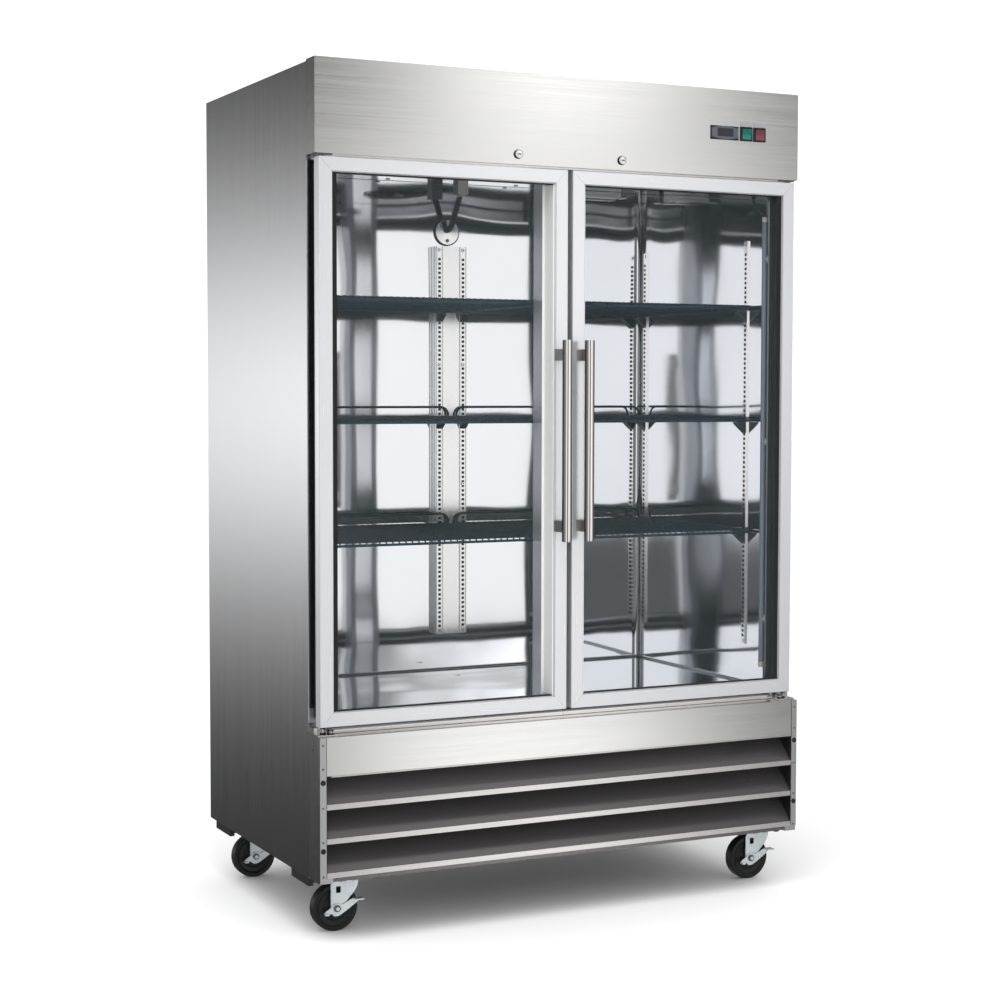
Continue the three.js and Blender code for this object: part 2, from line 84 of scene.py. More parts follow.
# ------------------------------------------------------------------ node helpers
class Nodes:
    """Short calls for building a node tree."""

    def __init__(self, tree):
        self.tree = tree

    def new(self, kind, **settings):
        node = self.tree.nodes.new(kind)
        for key, value in settings.items():
            setattr(node, key, value)
        return node

    def link(self, source, target):
        self.tree.links.new(source, target)

    def put(self, value, socket):
        if isinstance(value, bpy.types.NodeSocket):
            self.link(value, socket)
        else:
            socket.default_value = value

    def math(self, operation, a, b=0.0, c=0.0):
        node = self.new("ShaderNodeMath", operation=operation)
        for socket, value in zip(node.inputs, (a, b, c)):
            self.put(value, socket)
        return node.outputs[0]

    def times(self, a, b):
        return self.math("MULTIPLY", a, b)

    def bell(self, value, centre, width):
        """A soft peak, 1 high, where value meets centre."""
        gap = self.math("DIVIDE", self.math("SUBTRACT", value, centre), width)
        return self.math("EXPONENT", self.times(self.times(gap, gap), -0.5))

    def compass(self, way):
        """A direction's angle round the z axis, in degrees from -y towards +x, and its z."""
        split = self.new("ShaderNodeSeparateXYZ")
        self.link(way, split.inputs[0])
        x, y, z = split.outputs
        return self.times(self.math("ARCTAN2", x, self.times(y, -1.0)), DEGREES), z

    def ramp(self, value, low, high, out_low=0.0, out_high=1.0, kind="LINEAR"):
        """Goes from out_low to out_high as value goes from low to high."""
        node = self.new("ShaderNodeMapRange", interpolation_type=kind)
        for socket, v in zip(node.inputs, (value, low, high, out_low, out_high)):
            self.put(v, socket)
        return node.outputs[0]

    def step(self, *span):
        """The same as ramp, with a soft start and end."""
        return self.ramp(*span, kind="SMOOTHSTEP")

    def noise(self, stretch, detail=3.0, roughness=0.5):
        """Noise over the piece's own coordinates, in cycles per metre on each axis."""
        where = self.new("ShaderNodeTexCoord").outputs["Object"]
        mapping = self.new("ShaderNodeMapping")
        self.link(where, mapping.inputs["Vector"])
        mapping.inputs["Scale"].default_value = stretch
        node = self.new("ShaderNodeTexNoise")
        self.link(mapping.outputs[0], node.inputs["Vector"])
        node.inputs["Scale"].default_value = 1.0
        node.inputs["Detail"].default_value = detail
        node.inputs["Roughness"].default_value = roughness
        return node.outputs["Fac"]

    def mix_colour(self, factor, a, b):
        node = self.new("ShaderNodeMix", data_type="RGBA")
        self.put(factor, node.inputs[0])
        self.put(a, node.inputs[6])
        self.put(b, node.inputs[7])
        return node.outputs[2]

    def bump(self, height, strength, distance):
        node = self.new("ShaderNodeBump")
        node.inputs["Strength"].default_value = strength
        node.inputs["Distance"].default_value = distance
        self.link(height, node.inputs["Height"])
        return node.outputs[0]


def shade(colour, amount):
    return (*(min(1.0, c * amount) for c in colour), 1.0)


def new_material(name):
    """A fresh material with its node helper and its Principled shader."""
    material = bpy.data.materials.new(name)
    material.use_nodes = True
    tree = material.node_tree
    return material, Nodes(tree), tree.nodes["Principled BSDF"]


def surface(name, colour, roughness, stretch, metallic=0.0, spread=0.05, rough_spread=0.1,
            bump=0.1, depth=0.0002, **sockets):
    """A Principled material whose colour, roughness and relief vary with one noise.
    `stretch` is the noise's cycles per metre, as one number or one for each axis."""
    material, n, shader = new_material(name)
    grain = n.noise(stretch if isinstance(stretch, tuple) else [stretch] * 3)
    n.link(n.mix_colour(grain, shade(colour, 1 - spread), shade(colour, 1 + spread)),
           shader.inputs["Base Color"])
    n.link(n.ramp(grain, 0.3, 0.7, max(0.01, roughness - rough_spread / 2),
                  roughness + rough_spread / 2), shader.inputs["Roughness"])
    if bump:
        n.link(n.bump(grain, bump, depth), shader.inputs["Normal"])
    shader.inputs["Metallic"].default_value = metallic
    for key, value in sockets.items():
        shader.inputs[key.replace("_", " ")].default_value = value
    return material


def brushed(name, colour, roughness, along, spread=0.03, bump=0.05, metallic=1.0):
    """Brushed sheet whose grain runs along one axis: fine lines over broad soft bands."""
    material, n, shader = new_material(name)
    fine_scale = [700.0] * 3
    broad_scale = [60.0] * 3
    fine_scale["xyz".index(along)] = 5.0
    broad_scale["xyz".index(along)] = 0.7
    fine = n.noise(fine_scale, 3.0, 0.65)
    broad = n.noise(broad_scale, 2.0)
    blend = n.math("MULTIPLY_ADD", fine, 0.7, n.times(broad, 0.3))
    n.link(n.mix_colour(n.ramp(blend, 0.3, 0.7), shade(colour, 1 - spread),
                        shade(colour, 1 + spread)), shader.inputs["Base Color"])
    n.link(n.ramp(blend, 0.3, 0.7, roughness - 0.04, roughness + 0.04), shader.inputs["Roughness"])
    n.link(n.bump(fine, bump, 0.0001), shader.inputs["Normal"])
    shader.inputs["Metallic"].default_value = metallic
    return material


def paint_reflection_streaks(material, painted_streaks):
    """Paints light lines (painted highlights) and dark lines (painted reflections) down a brushed tube,
    by the way its surface faces: (colour, [(angle round it, width, depth)]).
    """
    n = Nodes(material.node_tree)
    base = material.node_tree.nodes["Principled BSDF"].inputs["Base Color"]
    tube = base.links[0].from_socket
    turn, _ = n.compass(n.new("ShaderNodeTexCoord").outputs["Normal"])
    for colour, lines in painted_streaks:
        tone = 0.0
        for angle, width, depth in lines:
            tone = n.math("MULTIPLY_ADD", n.bell(turn, angle, width), depth, tone)
        tube = n.mix_colour(tone, tube, colour)
    n.link(tube, base)


STEEL = (0.90, 0.905, 0.92)
WARM_STEEL = (0.92, 0.915, 0.90)
side_steel = brushed("side_steel", STEEL, 0.17, "z")
front_steel = brushed("front_steel", WARM_STEEL, 0.16, "x")
post_steel = brushed("post_steel", (0.72, 0.72, 0.72), 0.22, "z")
plain_steel = brushed("plain_steel", (0.74, 0.74, 0.75), 0.28, "x")
lip_steel = brushed("lip_steel", (0.88, 0.86, 0.84), 0.20, "x")
# Steel darkened for the louver blades and the skirt, which sit in shade: painted shade.
blade_steel_painted_shade = brushed("blade_steel_painted_shade", (0.20, 0.19, 0.195), 0.17, "x", metallic=0.72)
mirror = surface("liner_mirror", (0.90, 0.915, 0.94), 0.05, (3, 3, 1.5), 1.0,
                 spread=0.02, rough_spread=0.03, bump=0.05, depth=0.002)
column_steel = brushed("column_steel", (0.90, 0.89, 0.885), 0.13, "z")
satin_dark = brushed("mullion_satin", (0.46, 0.47, 0.50), 0.22, "z", metallic=0.6)
white_strip = surface("white_strip", (0.94, 0.94, 0.93), 0.45, (40, 40, 8), spread=0.02, bump=0.02)
FRAME_METAL = (0.90, 0.905, 0.93)
aluminium = brushed("door_aluminium", FRAME_METAL, 0.24, "z", 0.02, 0.03, 0.72)
aluminium_across = brushed("door_aluminium_across", FRAME_METAL, 0.24, "x", 0.02, 0.03, 0.72)
handle_steel = brushed("handle_steel", (0.40, 0.375, 0.36), 0.09, "z", 0.04, 0.03, metallic=0.4)
standoff_steel = brushed("standoff_steel", (0.30, 0.285, 0.28), 0.30, "y", metallic=0.7)
# The pulls' light lines are painted highlights and their dark lines are painted reflections.
paint_reflection_streaks(handle_steel, (((1.0, 0.98, 0.96, 1), ((-34, 5, 1.0), (-4, 9, 1.0))),
                            ((0.015, 0.013, 0.012, 1),
                             ((-95, 29, 1.0), (-21, 4, 0.8), (46, 18, 1.0)))))
zinc = surface("zinc_plate", (0.84, 0.90, 0.93), 0.20, 90, 0.62,
               spread=0.05, rough_spread=0.12, bump=0.05, depth=0.0004)
chrome = surface("chrome", (0.86, 0.86, 0.87), 0.10, 60, 1.0, bump=0.0)
rivet_steel = surface("rivet_steel", (0.25, 0.25, 0.26), 0.3, 400, 1.0)
black_enamel = surface("black_enamel", (0.016, 0.016, 0.018), 0.42, 900, spread=0.2, bump=0.12)
black_rubber = surface("black_rubber", (0.013, 0.013, 0.014), 0.6, 700, spread=0.25, bump=0.2)
wheel_rubber = surface("wheel_rubber", (0.012, 0.013, 0.013), 0.38, 500, spread=0.25, bump=0.12)
black_plastic = surface("black_plastic", (0.014, 0.014, 0.017), 0.35, 1200, spread=0.15, bump=0.08)
tab_plastic = surface("tab_plastic", (0.30, 0.30, 0.32), 0.15, 500, spread=0.25, bump=0.1)
# Dark metal for the ring round each lock's collar: painted shadow.
lock_ring_painted_shadow = surface("lock_ring_painted_shadow", (0.10, 0.095, 0.09), 0.3, 300, 1.0)
# Flat black for the insides of holes, slots, vents and gaps: painted shade.
hole_shade_black = surface("hole_shade_black", (0.006, 0.006, 0.007), 0.8, 500)
bezel_plastic = surface("bezel_plastic", (0.075, 0.093, 0.115), 0.22, 900, bump=0.05)
window_plastic = surface("window_plastic", (0.022, 0.020, 0.022), 0.18, 60, spread=0.2, bump=0.0)
green_lens = surface("green_lens", (0.002, 0.12, 0.095), 0.12, 260,
                     spread=0.5, bump=0.12, depth=0.001, Coat_Weight=0.5)
red_lens = surface("red_lens", (0.125, 0.032, 0.036), 0.2, 260,
                   spread=0.45, bump=0.12, depth=0.001, Coat_Weight=0.4)
epoxy = surface("shelf_epoxy", (0.008, 0.024, 0.036), 0.27, 350, spread=0.2, bump=0.08)
lamp_plastic = surface("lamp_tube", (0.14, 0.165, 0.21), 0.16, (120, 120, 30),
                       spread=0.08, bump=0.02)
grey_fitting = surface("grey_fitting", (0.42, 0.40, 0.38), 0.4, 200)
fins = surface("coil_fins", (0.62, 0.64, 0.66), 0.4, (900, 40, 40), 1.0, spread=0.3,
               bump=0.5, depth=0.001)
compressor_black = surface("compressor_black", (0.014, 0.014, 0.015), 0.25, 160, spread=0.2, bump=0.06)


def make_glass():
    """Clear pane: see-through, with a faint cool film and the shine of its two faces."""
    material, n, shader = new_material("door_glass")
    smear = n.noise((2.5, 2.5, 1.2))
    n.link(n.ramp(smear, 0.3, 0.7, 0.03, 0.05), shader.inputs["Alpha"])
    n.link(n.mix_colour(smear, (0.18, 0.24, 0.27, 1), (0.26, 0.32, 0.34, 1)),
           shader.inputs["Base Color"])
    shader.inputs["Roughness"].default_value = 0.03
    return material


glass = make_glass()


# ------------------------------------------------------------------ mesh helpers
ORIGIN = (0, 0, 0)


def spot(pair, axis, along):
    """A point from its place along an axis and its two other numbers."""
    point = list(pair)
    point.insert("xyz".index(axis), along)
    return point


class Build:
    """One piece, gathered in millimetres from an origin in the cabinet's frame."""

    def __init__(self, x=0, y=0, z=0):
        self.bm = bmesh.new()
        self.origin = Vector((x, y, z))

    def _bevel(self, faces, radius, segments):
        edges = {e for f in faces for e in f.edges
                 if len(e.link_faces) == 2 and e.calc_face_angle(0) > math.radians(25)}
        out = bmesh.ops.bevel(self.bm, geom=list(edges), offset=radius, segments=segments,
                              profile=0.5, affect="EDGES", clamp_overlap=True)
        return out["faces"]

    def loft(self, rings, mat=0, closed_ring=True, cap=True, loop=False):
        """Faces between rings of equal length; returns the new faces."""
        made = [[self.bm.verts.new(p) for p in ring] for ring in rings]
        faces = []
        size = len(rings[0])
        pairs = list(zip(made, made[1:])) + ([(made[-1], made[0])] if loop else [])
        for a, b in pairs:
            for i in range(size if closed_ring else size - 1):
                j = (i + 1) % size
                faces.append(self.bm.faces.new((a[i], a[j], b[j], b[i])))
        if cap and not loop:
            faces.append(self.bm.faces.new(list(reversed(made[0]))))
            faces.append(self.bm.faces.new(made[-1]))
        for f in faces:
            f.material_index = mat
        return faces

    def prism(self, outline, axis, start, end, bevel=0.0, segments=2, mat=0):
        """An outline run along an axis. The outline's two numbers are the other two axes."""
        faces = self.loft([[spot(p, axis, h) for p in outline] for h in (start, end)], mat)
        if bevel:
            for f in self._bevel(faces, bevel, segments):
                f.material_index = mat

    def box(self, xa, xb, y0, y1, z0, z1, bevel=0.8, segments=2, mat=0):
        """A box; its two x values may come in either order."""
        x0, x1 = sorted((xa, xb))
        self.prism([(x0, y0), (x1, y0), (x1, y1), (x0, y1)], "z", z0, z1, bevel, segments, mat)

    def lathe(self, profile, centre, axis, sides=24, mat=0):
        """Turns a profile of (radius, distance along the axis) round a line."""
        rings = [[Vector(centre) + Vector(spot((r * math.cos(a), r * math.sin(a)), axis, h))
                  for r, h in profile] for a in (2 * math.pi * i / sides for i in range(sides))]
        faces = self.loft(rings, mat, closed_ring=False, cap=False, loop=True)
        bmesh.ops.remove_doubles(self.bm, verts=list({v for f in faces for v in f.verts}),
                                 dist=0.001)

    def rod(self, radius, low, high, centre=ORIGIN, axis="z", sides=24, mat=0):
        self.lathe([(0, low), (radius, low), (radius, high), (0, high)], centre, axis, sides, mat)

    def disc(self, x, y, z, radius, height, axis="y", mat=0, crown=0.3, sides=16):
        """A button with a rounded edge; height runs along the axis, signed."""
        edge = height * crown
        inset = abs(edge)
        self.lathe([(0, 0), (radius, 0), (radius, height - edge),
                    (radius - inset, height), (0, height)], (x, y, z), axis, sides, mat)

    def tube(self, points, radius, sides=8, mat=0, closed=False):
        """A round bar along a line of points."""
        pts = [Vector(p) for p in points]
        count = len(pts)
        up = Vector((0.31, 0.17, 0.93))
        rings = []
        for i, p in enumerate(pts):
            before = pts[i - 1] if i or closed else p
            after = pts[(i + 1) % count] if i < count - 1 or closed else p
            way = (after - before).normalized()
            side = way.cross(up).normalized()
            up = side.cross(way).normalized()
            rings.append([p + radius * (math.cos(t) * side + math.sin(t) * up)
                          for t in (2 * math.pi * k / sides for k in range(sides))])
        self.loft(rings, mat, loop=closed, cap=not closed)

    def plate(self, outline, holes, axis, middle, thickness, bevel):
        """A flat plate with holes and softened edges, square to an axis."""
        curve = bpy.data.curves.new("outline", "CURVE")
        curve.dimensions, curve.fill_mode = "2D", "BOTH"
        curve.extrude, curve.bevel_depth = thickness / 2 - bevel, bevel
        curve.bevel_resolution, curve.offset = 1, -bevel
        for loop in [outline, *holes]:
            spline = curve.splines.new("POLY")
            spline.points.add(len(loop) - 1)
            for point, (a, b) in zip(spline.points, loop):
                point.co = (a, b, 0, 1)
            spline.use_cyclic_u = True
        holder = bpy.data.objects.new("outline", curve)
        bpy.context.scene.collection.objects.link(holder)
        graph = bpy.context.evaluated_depsgraph_get()
        made = bpy.data.meshes.new_from_object(holder.evaluated_get(graph))
        bpy.data.objects.remove(holder)
        bpy.data.curves.remove(curve)
        old = set(self.bm.verts)
        self.bm.from_mesh(made)
        bpy.data.meshes.remove(made)
        new = [v for v in self.bm.verts if v not in old]
        for v in new:
            v.co = spot(v.co[:2], axis, middle + v.co.z)
        bmesh.ops.remove_doubles(self.bm, verts=new, dist=0.001)

    def turn(self, angle, axis):
        """Turns everything gathered so far about the origin."""
        bmesh.ops.rotate(self.bm, matrix=Matrix.Rotation(angle, 3, axis), verts=self.bm.verts)

    def done(self, name, body, materials, replaces=(), angle=32, normals=True):
        if normals:
            bmesh.ops.recalc_face_normals(self.bm, faces=self.bm.faces)
        for v in self.bm.verts:
            v.co = place(*(v.co + self.origin))
        mesh = bpy.data.meshes.new(name)
        self.bm.to_mesh(mesh)
        self.bm.free()
        return add_mesh(mesh, name, body, materials, replaces, angle)


def add_mesh(mesh, name, body, materials, replaces=(), angle=32):
    for material in materials if isinstance(materials, (list, tuple)) else [materials]:
        mesh.materials.append(material)
    mesh.shade_smooth()
    mesh.set_sharp_from_angle(angle=math.radians(angle))
    piece = bpy.data.objects.new(name, mesh)
    bpy.context.scene.collection.objects.link(piece)
    even = piece.modifiers.new("flat faces stay flat", "WEIGHTED_NORMAL")
    even.keep_sharp = True
    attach(piece, body)
    if replaces:
        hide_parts(*replaces)
    return piece


def repaint(node, material):
    """A carried-over CAD node gets its finished material."""
    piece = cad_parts[node]
    piece.data.materials.clear()
    piece.data.materials.append(material)


def arc(cx, cy, radius, start, end, count=8):
    """Points of an arc, angles in degrees."""
    turns = [math.radians(start + (end - start) * i / count) for i in range(count + 1)]
    return [(cx + radius * math.cos(t), cy + radius * math.sin(t)) for t in turns]


def circle(cx, cy, radius, count=16):
    return arc(cx, cy, radius, 0, 360, count)[:-1]


def mitred(build, x0, x1, z0, z1, profile, mat_sides=0, mat_across=0, gap=0.25):
    """Four bars round a rectangle, mitred at the corners. The profile's points are
    (distance in from the outer edge, y)."""
    corners = [(x0, z0, 1, 1), (x1, z0, -1, 1), (x1, z1, -1, -1), (x0, z1, 1, -1)]
    for i in range(4):
        a, b = corners[i], corners[(i + 1) % 4]
        ends = [[Vector((cx + dx * w, y, cz + dz * w)) for w, y in profile]
                for cx, cz, dx, dz in (a, b)]
        along = Vector((b[0] - a[0], 0, b[1] - a[1])).normalized() * gap
        build.loft([[p + along for p in ends[0]], [p - along for p in ends[1]]],
                   mat_across if i % 2 == 0 else mat_sides)


SIDES = {"left": -1, "right": 1}

# ------------------------------------------------------------------ cabinet outside
# Half the width, outside and inside.
HALF, INNER = 686.0, 635.7
BODY_FRONT, BODY_BACK = 56.3, 825.0
BODY_BOTTOM, BODY_TOP = 150.0, 2118.0
LINER_FRONT, LINER_BACK = 58.0, 741.7
FLOOR, CEILING, COVER_TOP = 534.3, 1925.0, 2040.0
HINGE_X, HINGE_Y = 664, 16
RACK_Y = {"front": 160.0, "rear": 702.0}


def cabinet_outside():
    for side, s in SIDES.items():
        wall = Build()
        wall.box(s * (INNER + 1.6), s * HALF, BODY_FRONT, BODY_BACK, BODY_BOTTOM, BODY_TOP, 2.2, 3)
        wall.done(f"{side}_side_panel", "cabinet", side_steel,
                  [f"{side}_wall"])
    back = Build()
    back.box(-INNER - 1, INNER + 1, LINER_BACK + 1.6, BODY_BACK - 2, BODY_BOTTOM, BODY_TOP - 2, 1.0)
    back.box(-668, 668, BODY_BACK - 2.4, BODY_BACK - 0.4, 560, 2096, 0.6)
    back.box(-668, 668, BODY_BACK - 2.4, BODY_BACK - 0.4, 172, 548, 0.6)
    for x in (-650, -325, 0, 325, 650):
        for z in (576, 2080, 188, 532):
            back.disc(x, BODY_BACK - 0.4, z, 6, 1.6, "y", 1)
    for z in (900, 1300, 1700):
        for x in (-650, 650):
            back.disc(x, BODY_BACK - 0.4, z, 6, 1.6, "y", 1)
    # Rows of louvers on the back, all in flat black: painted shade of the openings.
    for row in range(11):
        z = 230 + row * 26
        for x0 in (-560, -180, 200):
            back.prism([(BODY_BACK - 0.6, z), (BODY_BACK - 0.6, z + 13),
                        (BODY_BACK + 3.2, z + 3)], "x", x0, x0 + 340, 0.4, 1, 2)
    back.done("rear_panel", "cabinet",
              [plain_steel, rivet_steel, hole_shade_black], ["back_wall"])
    top = Build()
    top.box(-INNER - 1, INNER + 1, BODY_FRONT, LINER_BACK + 1, COVER_TOP, BODY_TOP - 0.8, 1.0)
    for x in (-420, 0, 420):
        top.box(x - 3, x + 3, BODY_FRONT + 30, LINER_BACK - 30, BODY_TOP - 1.2, BODY_TOP - 0.2, 0.3)
    top.done("top_panel", "cabinet", plain_steel, ["ceiling_panel"])


# ------------------------------------------------------------------ cabinet inside
CORNER = 22.0
COVE = 7.0
PLATE_X, PLATE_Z = -3.0, 1787.0


def dent(u, z, cx, cz, size, depth):
    return depth * math.exp(-((u - cx) ** 2 + (z - cz) ** 2) / (2 * size * size))


def waviness(u, z, seed):
    """How far the thin bright sheet stands off its flat, in millimetres."""
    long_wave = noise.noise(Vector((u / 230.0, z / 420.0, seed)))
    mid_wave = noise.noise(Vector((u / 90.0, z / 260.0, seed + 7.0)))
    return long_wave + 0.22 * mid_wave


def liner_path(step):
    """The liner's outline from above, side, back and side again: for each point x, y, the
    way inward, the distance along its flat, and which flat it is on."""
    depth = LINER_BACK - CORNER - LINER_FRONT
    width = 2 * (INNER - CORNER)
    n_side, n_back = int(depth / step), int(width / step)

    def corner(cx, start):
        turns = [math.radians(start - 90 * i / 7) for i in range(7)]
        return [(cx + CORNER * math.cos(a), LINER_BACK - CORNER + CORNER * math.sin(a),
                 -math.cos(a), -math.sin(a), depth, "corner") for a in turns]
    path = [(-INNER, LINER_FRONT + depth * i / n_side, 1.0, 0.0, i * depth / n_side, "left")
            for i in range(n_side)]
    path += corner(-INNER + CORNER, 180)
    path += [(-INNER + CORNER + width * i / n_back, LINER_BACK, 0.0, -1.0,
              width * i / n_back, "back") for i in range(n_back)]
    path += corner(INNER - CORNER, 90)
    path += [(INNER, LINER_BACK - CORNER - depth * i / n_side, -1.0, 0.0,
              depth * (1 - i / n_side), "right") for i in range(n_side + 1)]
    return path


SEEDS = {"left": 3.0, "back": 14.0, "right": 25.0}


def liner_wall():
    """Side, back and side again as one sheet with rounded corners and a coved foot."""
    step = 11.0
    width = 2 * (INNER - CORNER)
    path = liner_path(step)
    turns = [math.pi / 2 * i / 7 for i in range(8)]
    rows = [(FLOOR + COVE * (1 - math.cos(a)), COVE * (1 - math.sin(a))) for a in turns]
    foot, top = rows[-1][0], CEILING + 12
    n_up = int((top - foot) / step)
    rows += [(foot + (top - foot) * i / n_up, 0.0) for i in range(1, n_up + 1)]
    verts = []
    for z, inset in rows:
        fade_low = min(1.0, max(0.0, (z - FLOOR - COVE) / 60.0))
        for x, y, nx, ny, u, part in path:
            off = inset
            if part == "back":
                edge = min(1.0, u / 50.0, (width - u) / 50.0)
                off -= dent(x, z, PLATE_X, PLATE_Z - 4, 66, 1.4)
            elif part != "corner":
                edge = min(1.0, max(0.0, (y - LINER_FRONT) / 30.0))
                edge *= min(1.0, (LINER_BACK - CORNER - y) / 50.0)
            if part != "corner":
                off += 1.15 * fade_low * max(0.0, edge) * (0.75 + waviness(u, z, SEEDS[part]))
            verts.append(place(x + nx * off, y + ny * off, z))
    piece = sheet("liner_walls", verts, len(path), len(rows))
    thick = piece.modifiers.new("sheet", "SOLIDIFY")
    thick.thickness, thick.offset = 0.0006, 1.0


def sheet(name, verts, wide, rows):
    """A bright sheet over a grid of points, given row by row."""
    starts = [r * wide + c for r in range(rows - 1) for c in range(wide - 1)]
    mesh = bpy.data.meshes.new(name)
    mesh.from_pydata(verts, [], [(a, a + 1, a + wide + 1, a + wide) for a in starts])
    return add_mesh(mesh, name, "cabinet", mirror, angle=60)


def wavy_floor():
    step = 14.0
    x1, y0, y1 = INNER - COVE + 1.0, LINER_FRONT, LINER_BACK - COVE + 1.0
    nx, ny = int(2 * x1 / step), int((y1 - y0) / step)
    verts = []
    for j in range(ny + 1):
        for i in range(nx + 1):
            x, y = -x1 + 2 * x1 * i / nx, y0 + (y1 - y0) * j / ny
            edge = min(1.0, (x1 - abs(x)) / 60, (y1 - y) / 60, (y - y0) / 40)
            lift = 0.5 * edge * (0.9 + noise.noise(Vector((x / 210, y / 150, 40.0))))
            verts.append(place(x, y, FLOOR + 0.1 + max(0.0, lift)))
    sheet("liner_floor", verts, nx + 1, ny + 1)


def cabinet_inside():
    liner_wall()
    wavy_floor()
    deck = Build()
    deck.box(-INNER, INNER, BODY_FRONT, LINER_BACK - 1, 474, 533.2, 0.6)
    deck.disc(-28, 610, 533.4, 9, 1.5, "z", 1)
    deck.done("floor_panel", "cabinet", [plain_steel, rivet_steel],
              ["floor_deck"])
    # Ceiling cover with its fan grille and folded front.
    cover = Build()
    cover.prism([(107.3, COVER_TOP - 0.3), (107.3, CEILING + 2), (109.3, CEILING),
                 (733, CEILING), (733, CEILING + 2), (110, CEILING + 2.4),
                 (110, COVER_TOP - 0.3)], "x", -INNER + 0.4, INNER - 0.4)
    fan_y = 400
    for r in (28, 48, 68, 88, 106):
        cover.tube([(x, y, CEILING - 2.5) for x, y in circle(0, fan_y, r, 40)], 1.5, 6, 1,
                   closed=True)
    for spoke in zip(*(circle(0, fan_y, r, 6) for r in (20, 110, 114))):
        cover.tube([(x, y, CEILING - drop) for (x, y), drop in zip(spoke, (3.6, 3.6, 0))],
                   1.6, 6, 1)
    cover.disc(0, fan_y, CEILING, 22, -4, "z", 1)
    for x in (-600, -200, 200, 600):
        for y in (130, 705):
            cover.disc(x, y, CEILING, 6, -2.2, "z", 2)
    cover.done("ceiling_cover", "cabinet", [mirror, black_enamel, chrome],
               ["evaporator_cover"])


RACK_LOW, RACK_HIGH = 640.0, 1745.0
SLOT_PITCH, SLOT_TALL = 12.9, 7.2


def perforated(build, u0, u1, face, back, h0, h1, normal):
    """A raised strip with a row of slots from h0 to h1 across it. `face` and `back` are
    its front and wall planes along `normal`, which is "y" or "x"."""
    def quad(corners, mat=0):
        """Corners are (across, up, depth)."""
        points = [(u, d, z) if normal == "y" else (d, u, z) for u, z, d in corners]
        build.bm.faces.new([build.bm.verts.new(p) for p in points]).material_index = mat

    def front(a, b, za, zb, depth=face, mat=0):
        quad([(a, za, depth), (b, za, depth), (b, zb, depth), (a, zb, depth)], mat)
    lip = face + (back - face) * 0.22
    count = int((RACK_HIGH - RACK_LOW - 40) / SLOT_PITCH)
    slots = [RACK_LOW + 20 + i * SLOT_PITCH for i in range(count)]
    for a, b in ((u0, h0), (h1, u1)):
        front(a, b, RACK_LOW, RACK_HIGH)
    previous = RACK_LOW
    for low in slots:
        high = low + SLOT_TALL
        front(h0, h1, previous, low)
        for (a, za), (b, zb) in (((h0, low), (h0, high)), ((h1, high), (h1, low)),
                                 ((h1, low), (h0, low)), ((h0, high), (h1, high))):
            quad([(a, za, face), (b, zb, face), (b, zb, lip), (a, za, lip)])
        previous = high
    front(h0, h1, previous, RACK_HIGH)
    # A flat black sheet behind the slots: painted shade inside them.
    front(h0 - 1, h1 + 1, RACK_LOW, RACK_HIGH, lip, 1)
    for u in (u0, u1):
        quad([(u, RACK_LOW, face), (u, RACK_HIGH, face), (u, RACK_HIGH, back), (u, RACK_LOW, back)])
    for z in (RACK_LOW, RACK_HIGH):
        quad([(u0, z, face), (u1, z, face), (u1, z, back), (u0, z, back)])


def racks():
    """The slotted strips that the shelf clips hook into."""
    column = Build()
    column.box(-27, 27, 716.9, 741.0, RACK_LOW, RACK_HIGH)
    for s in (-1, 1):
        u0, u1 = sorted((s * 27.4, s * 46))
        middle = (u0 + u1) / 2
        perforated(column, u0, u1, 715.6, 741.6, middle - 3.8, middle + 4.4, "y")
        for edge in (u0, u1):
            column.box(edge - 1.2, edge + 1.2, 714.2, 717, RACK_LOW, RACK_HIGH, 0.4, 2, 3)
        column.box(s * 46.5 - 0.6, s * 46.5 + 0.6, 728, 735, RACK_LOW, RACK_HIGH, 0.2, 1, 3)
        for z in (RACK_HIGH - 10, 1410, 1070, RACK_LOW + 10):
            # Chrome bolts, each with a black dot for its socket: painted shade.
            column.disc(middle, 715.6, z, 5.2, -2.6, "y", 2)
            column.disc(middle, 713.2, z, 2.2, -0.4, "y", 1)
    column.done("rear_rack", "cabinet",
                [column_steel, hole_shade_black, chrome, post_steel], ["rear_column"],
                normals=False)
    for side, s in SIDES.items():
        for end, y in RACK_Y.items():
            strip = Build()
            face, back = s * (INNER - 6), s * (INNER - 0.2)
            perforated(strip, y - 8.5, y + 8.5, face, back, y - 4.2, y + 5.4, "x")
            for z in (RACK_HIGH - 9, RACK_LOW + 9):
                strip.disc(face, y, z, 4.6, -s * 1.8, "x", 2)
            strip.done(f"{side}_{end}_rack", "cabinet",
                       [column_steel, hole_shade_black, chrome], [f"{side}_{end}_pilaster"],
                       normals=False)


def mullion():
    post = Build()
    post.box(-49.6, 49.6, 58.4, 106.8, FLOOR + 0.4, COVER_TOP - 0.4, 2.0, 3)
    post.box(-50, 50, 56.4, 58.6, FLOOR + 0.4, CEILING - 1, 0.8, 2, 1)
    post.box(-30, 30, 106.4, 107.2, FLOOR + 2, CEILING - 1, 0.3, 1, 2)
    post.done("centre_post", "cabinet",
              [satin_dark, white_strip, column_steel], ["centre_mullion"])


SHELVES = {"lower": 948.0, "middle": 1252.0, "upper": 1556.0}
SHELF_FRONT, SHELF_BACK = 112.0, 712.0
WIRE_PITCH = 17.4


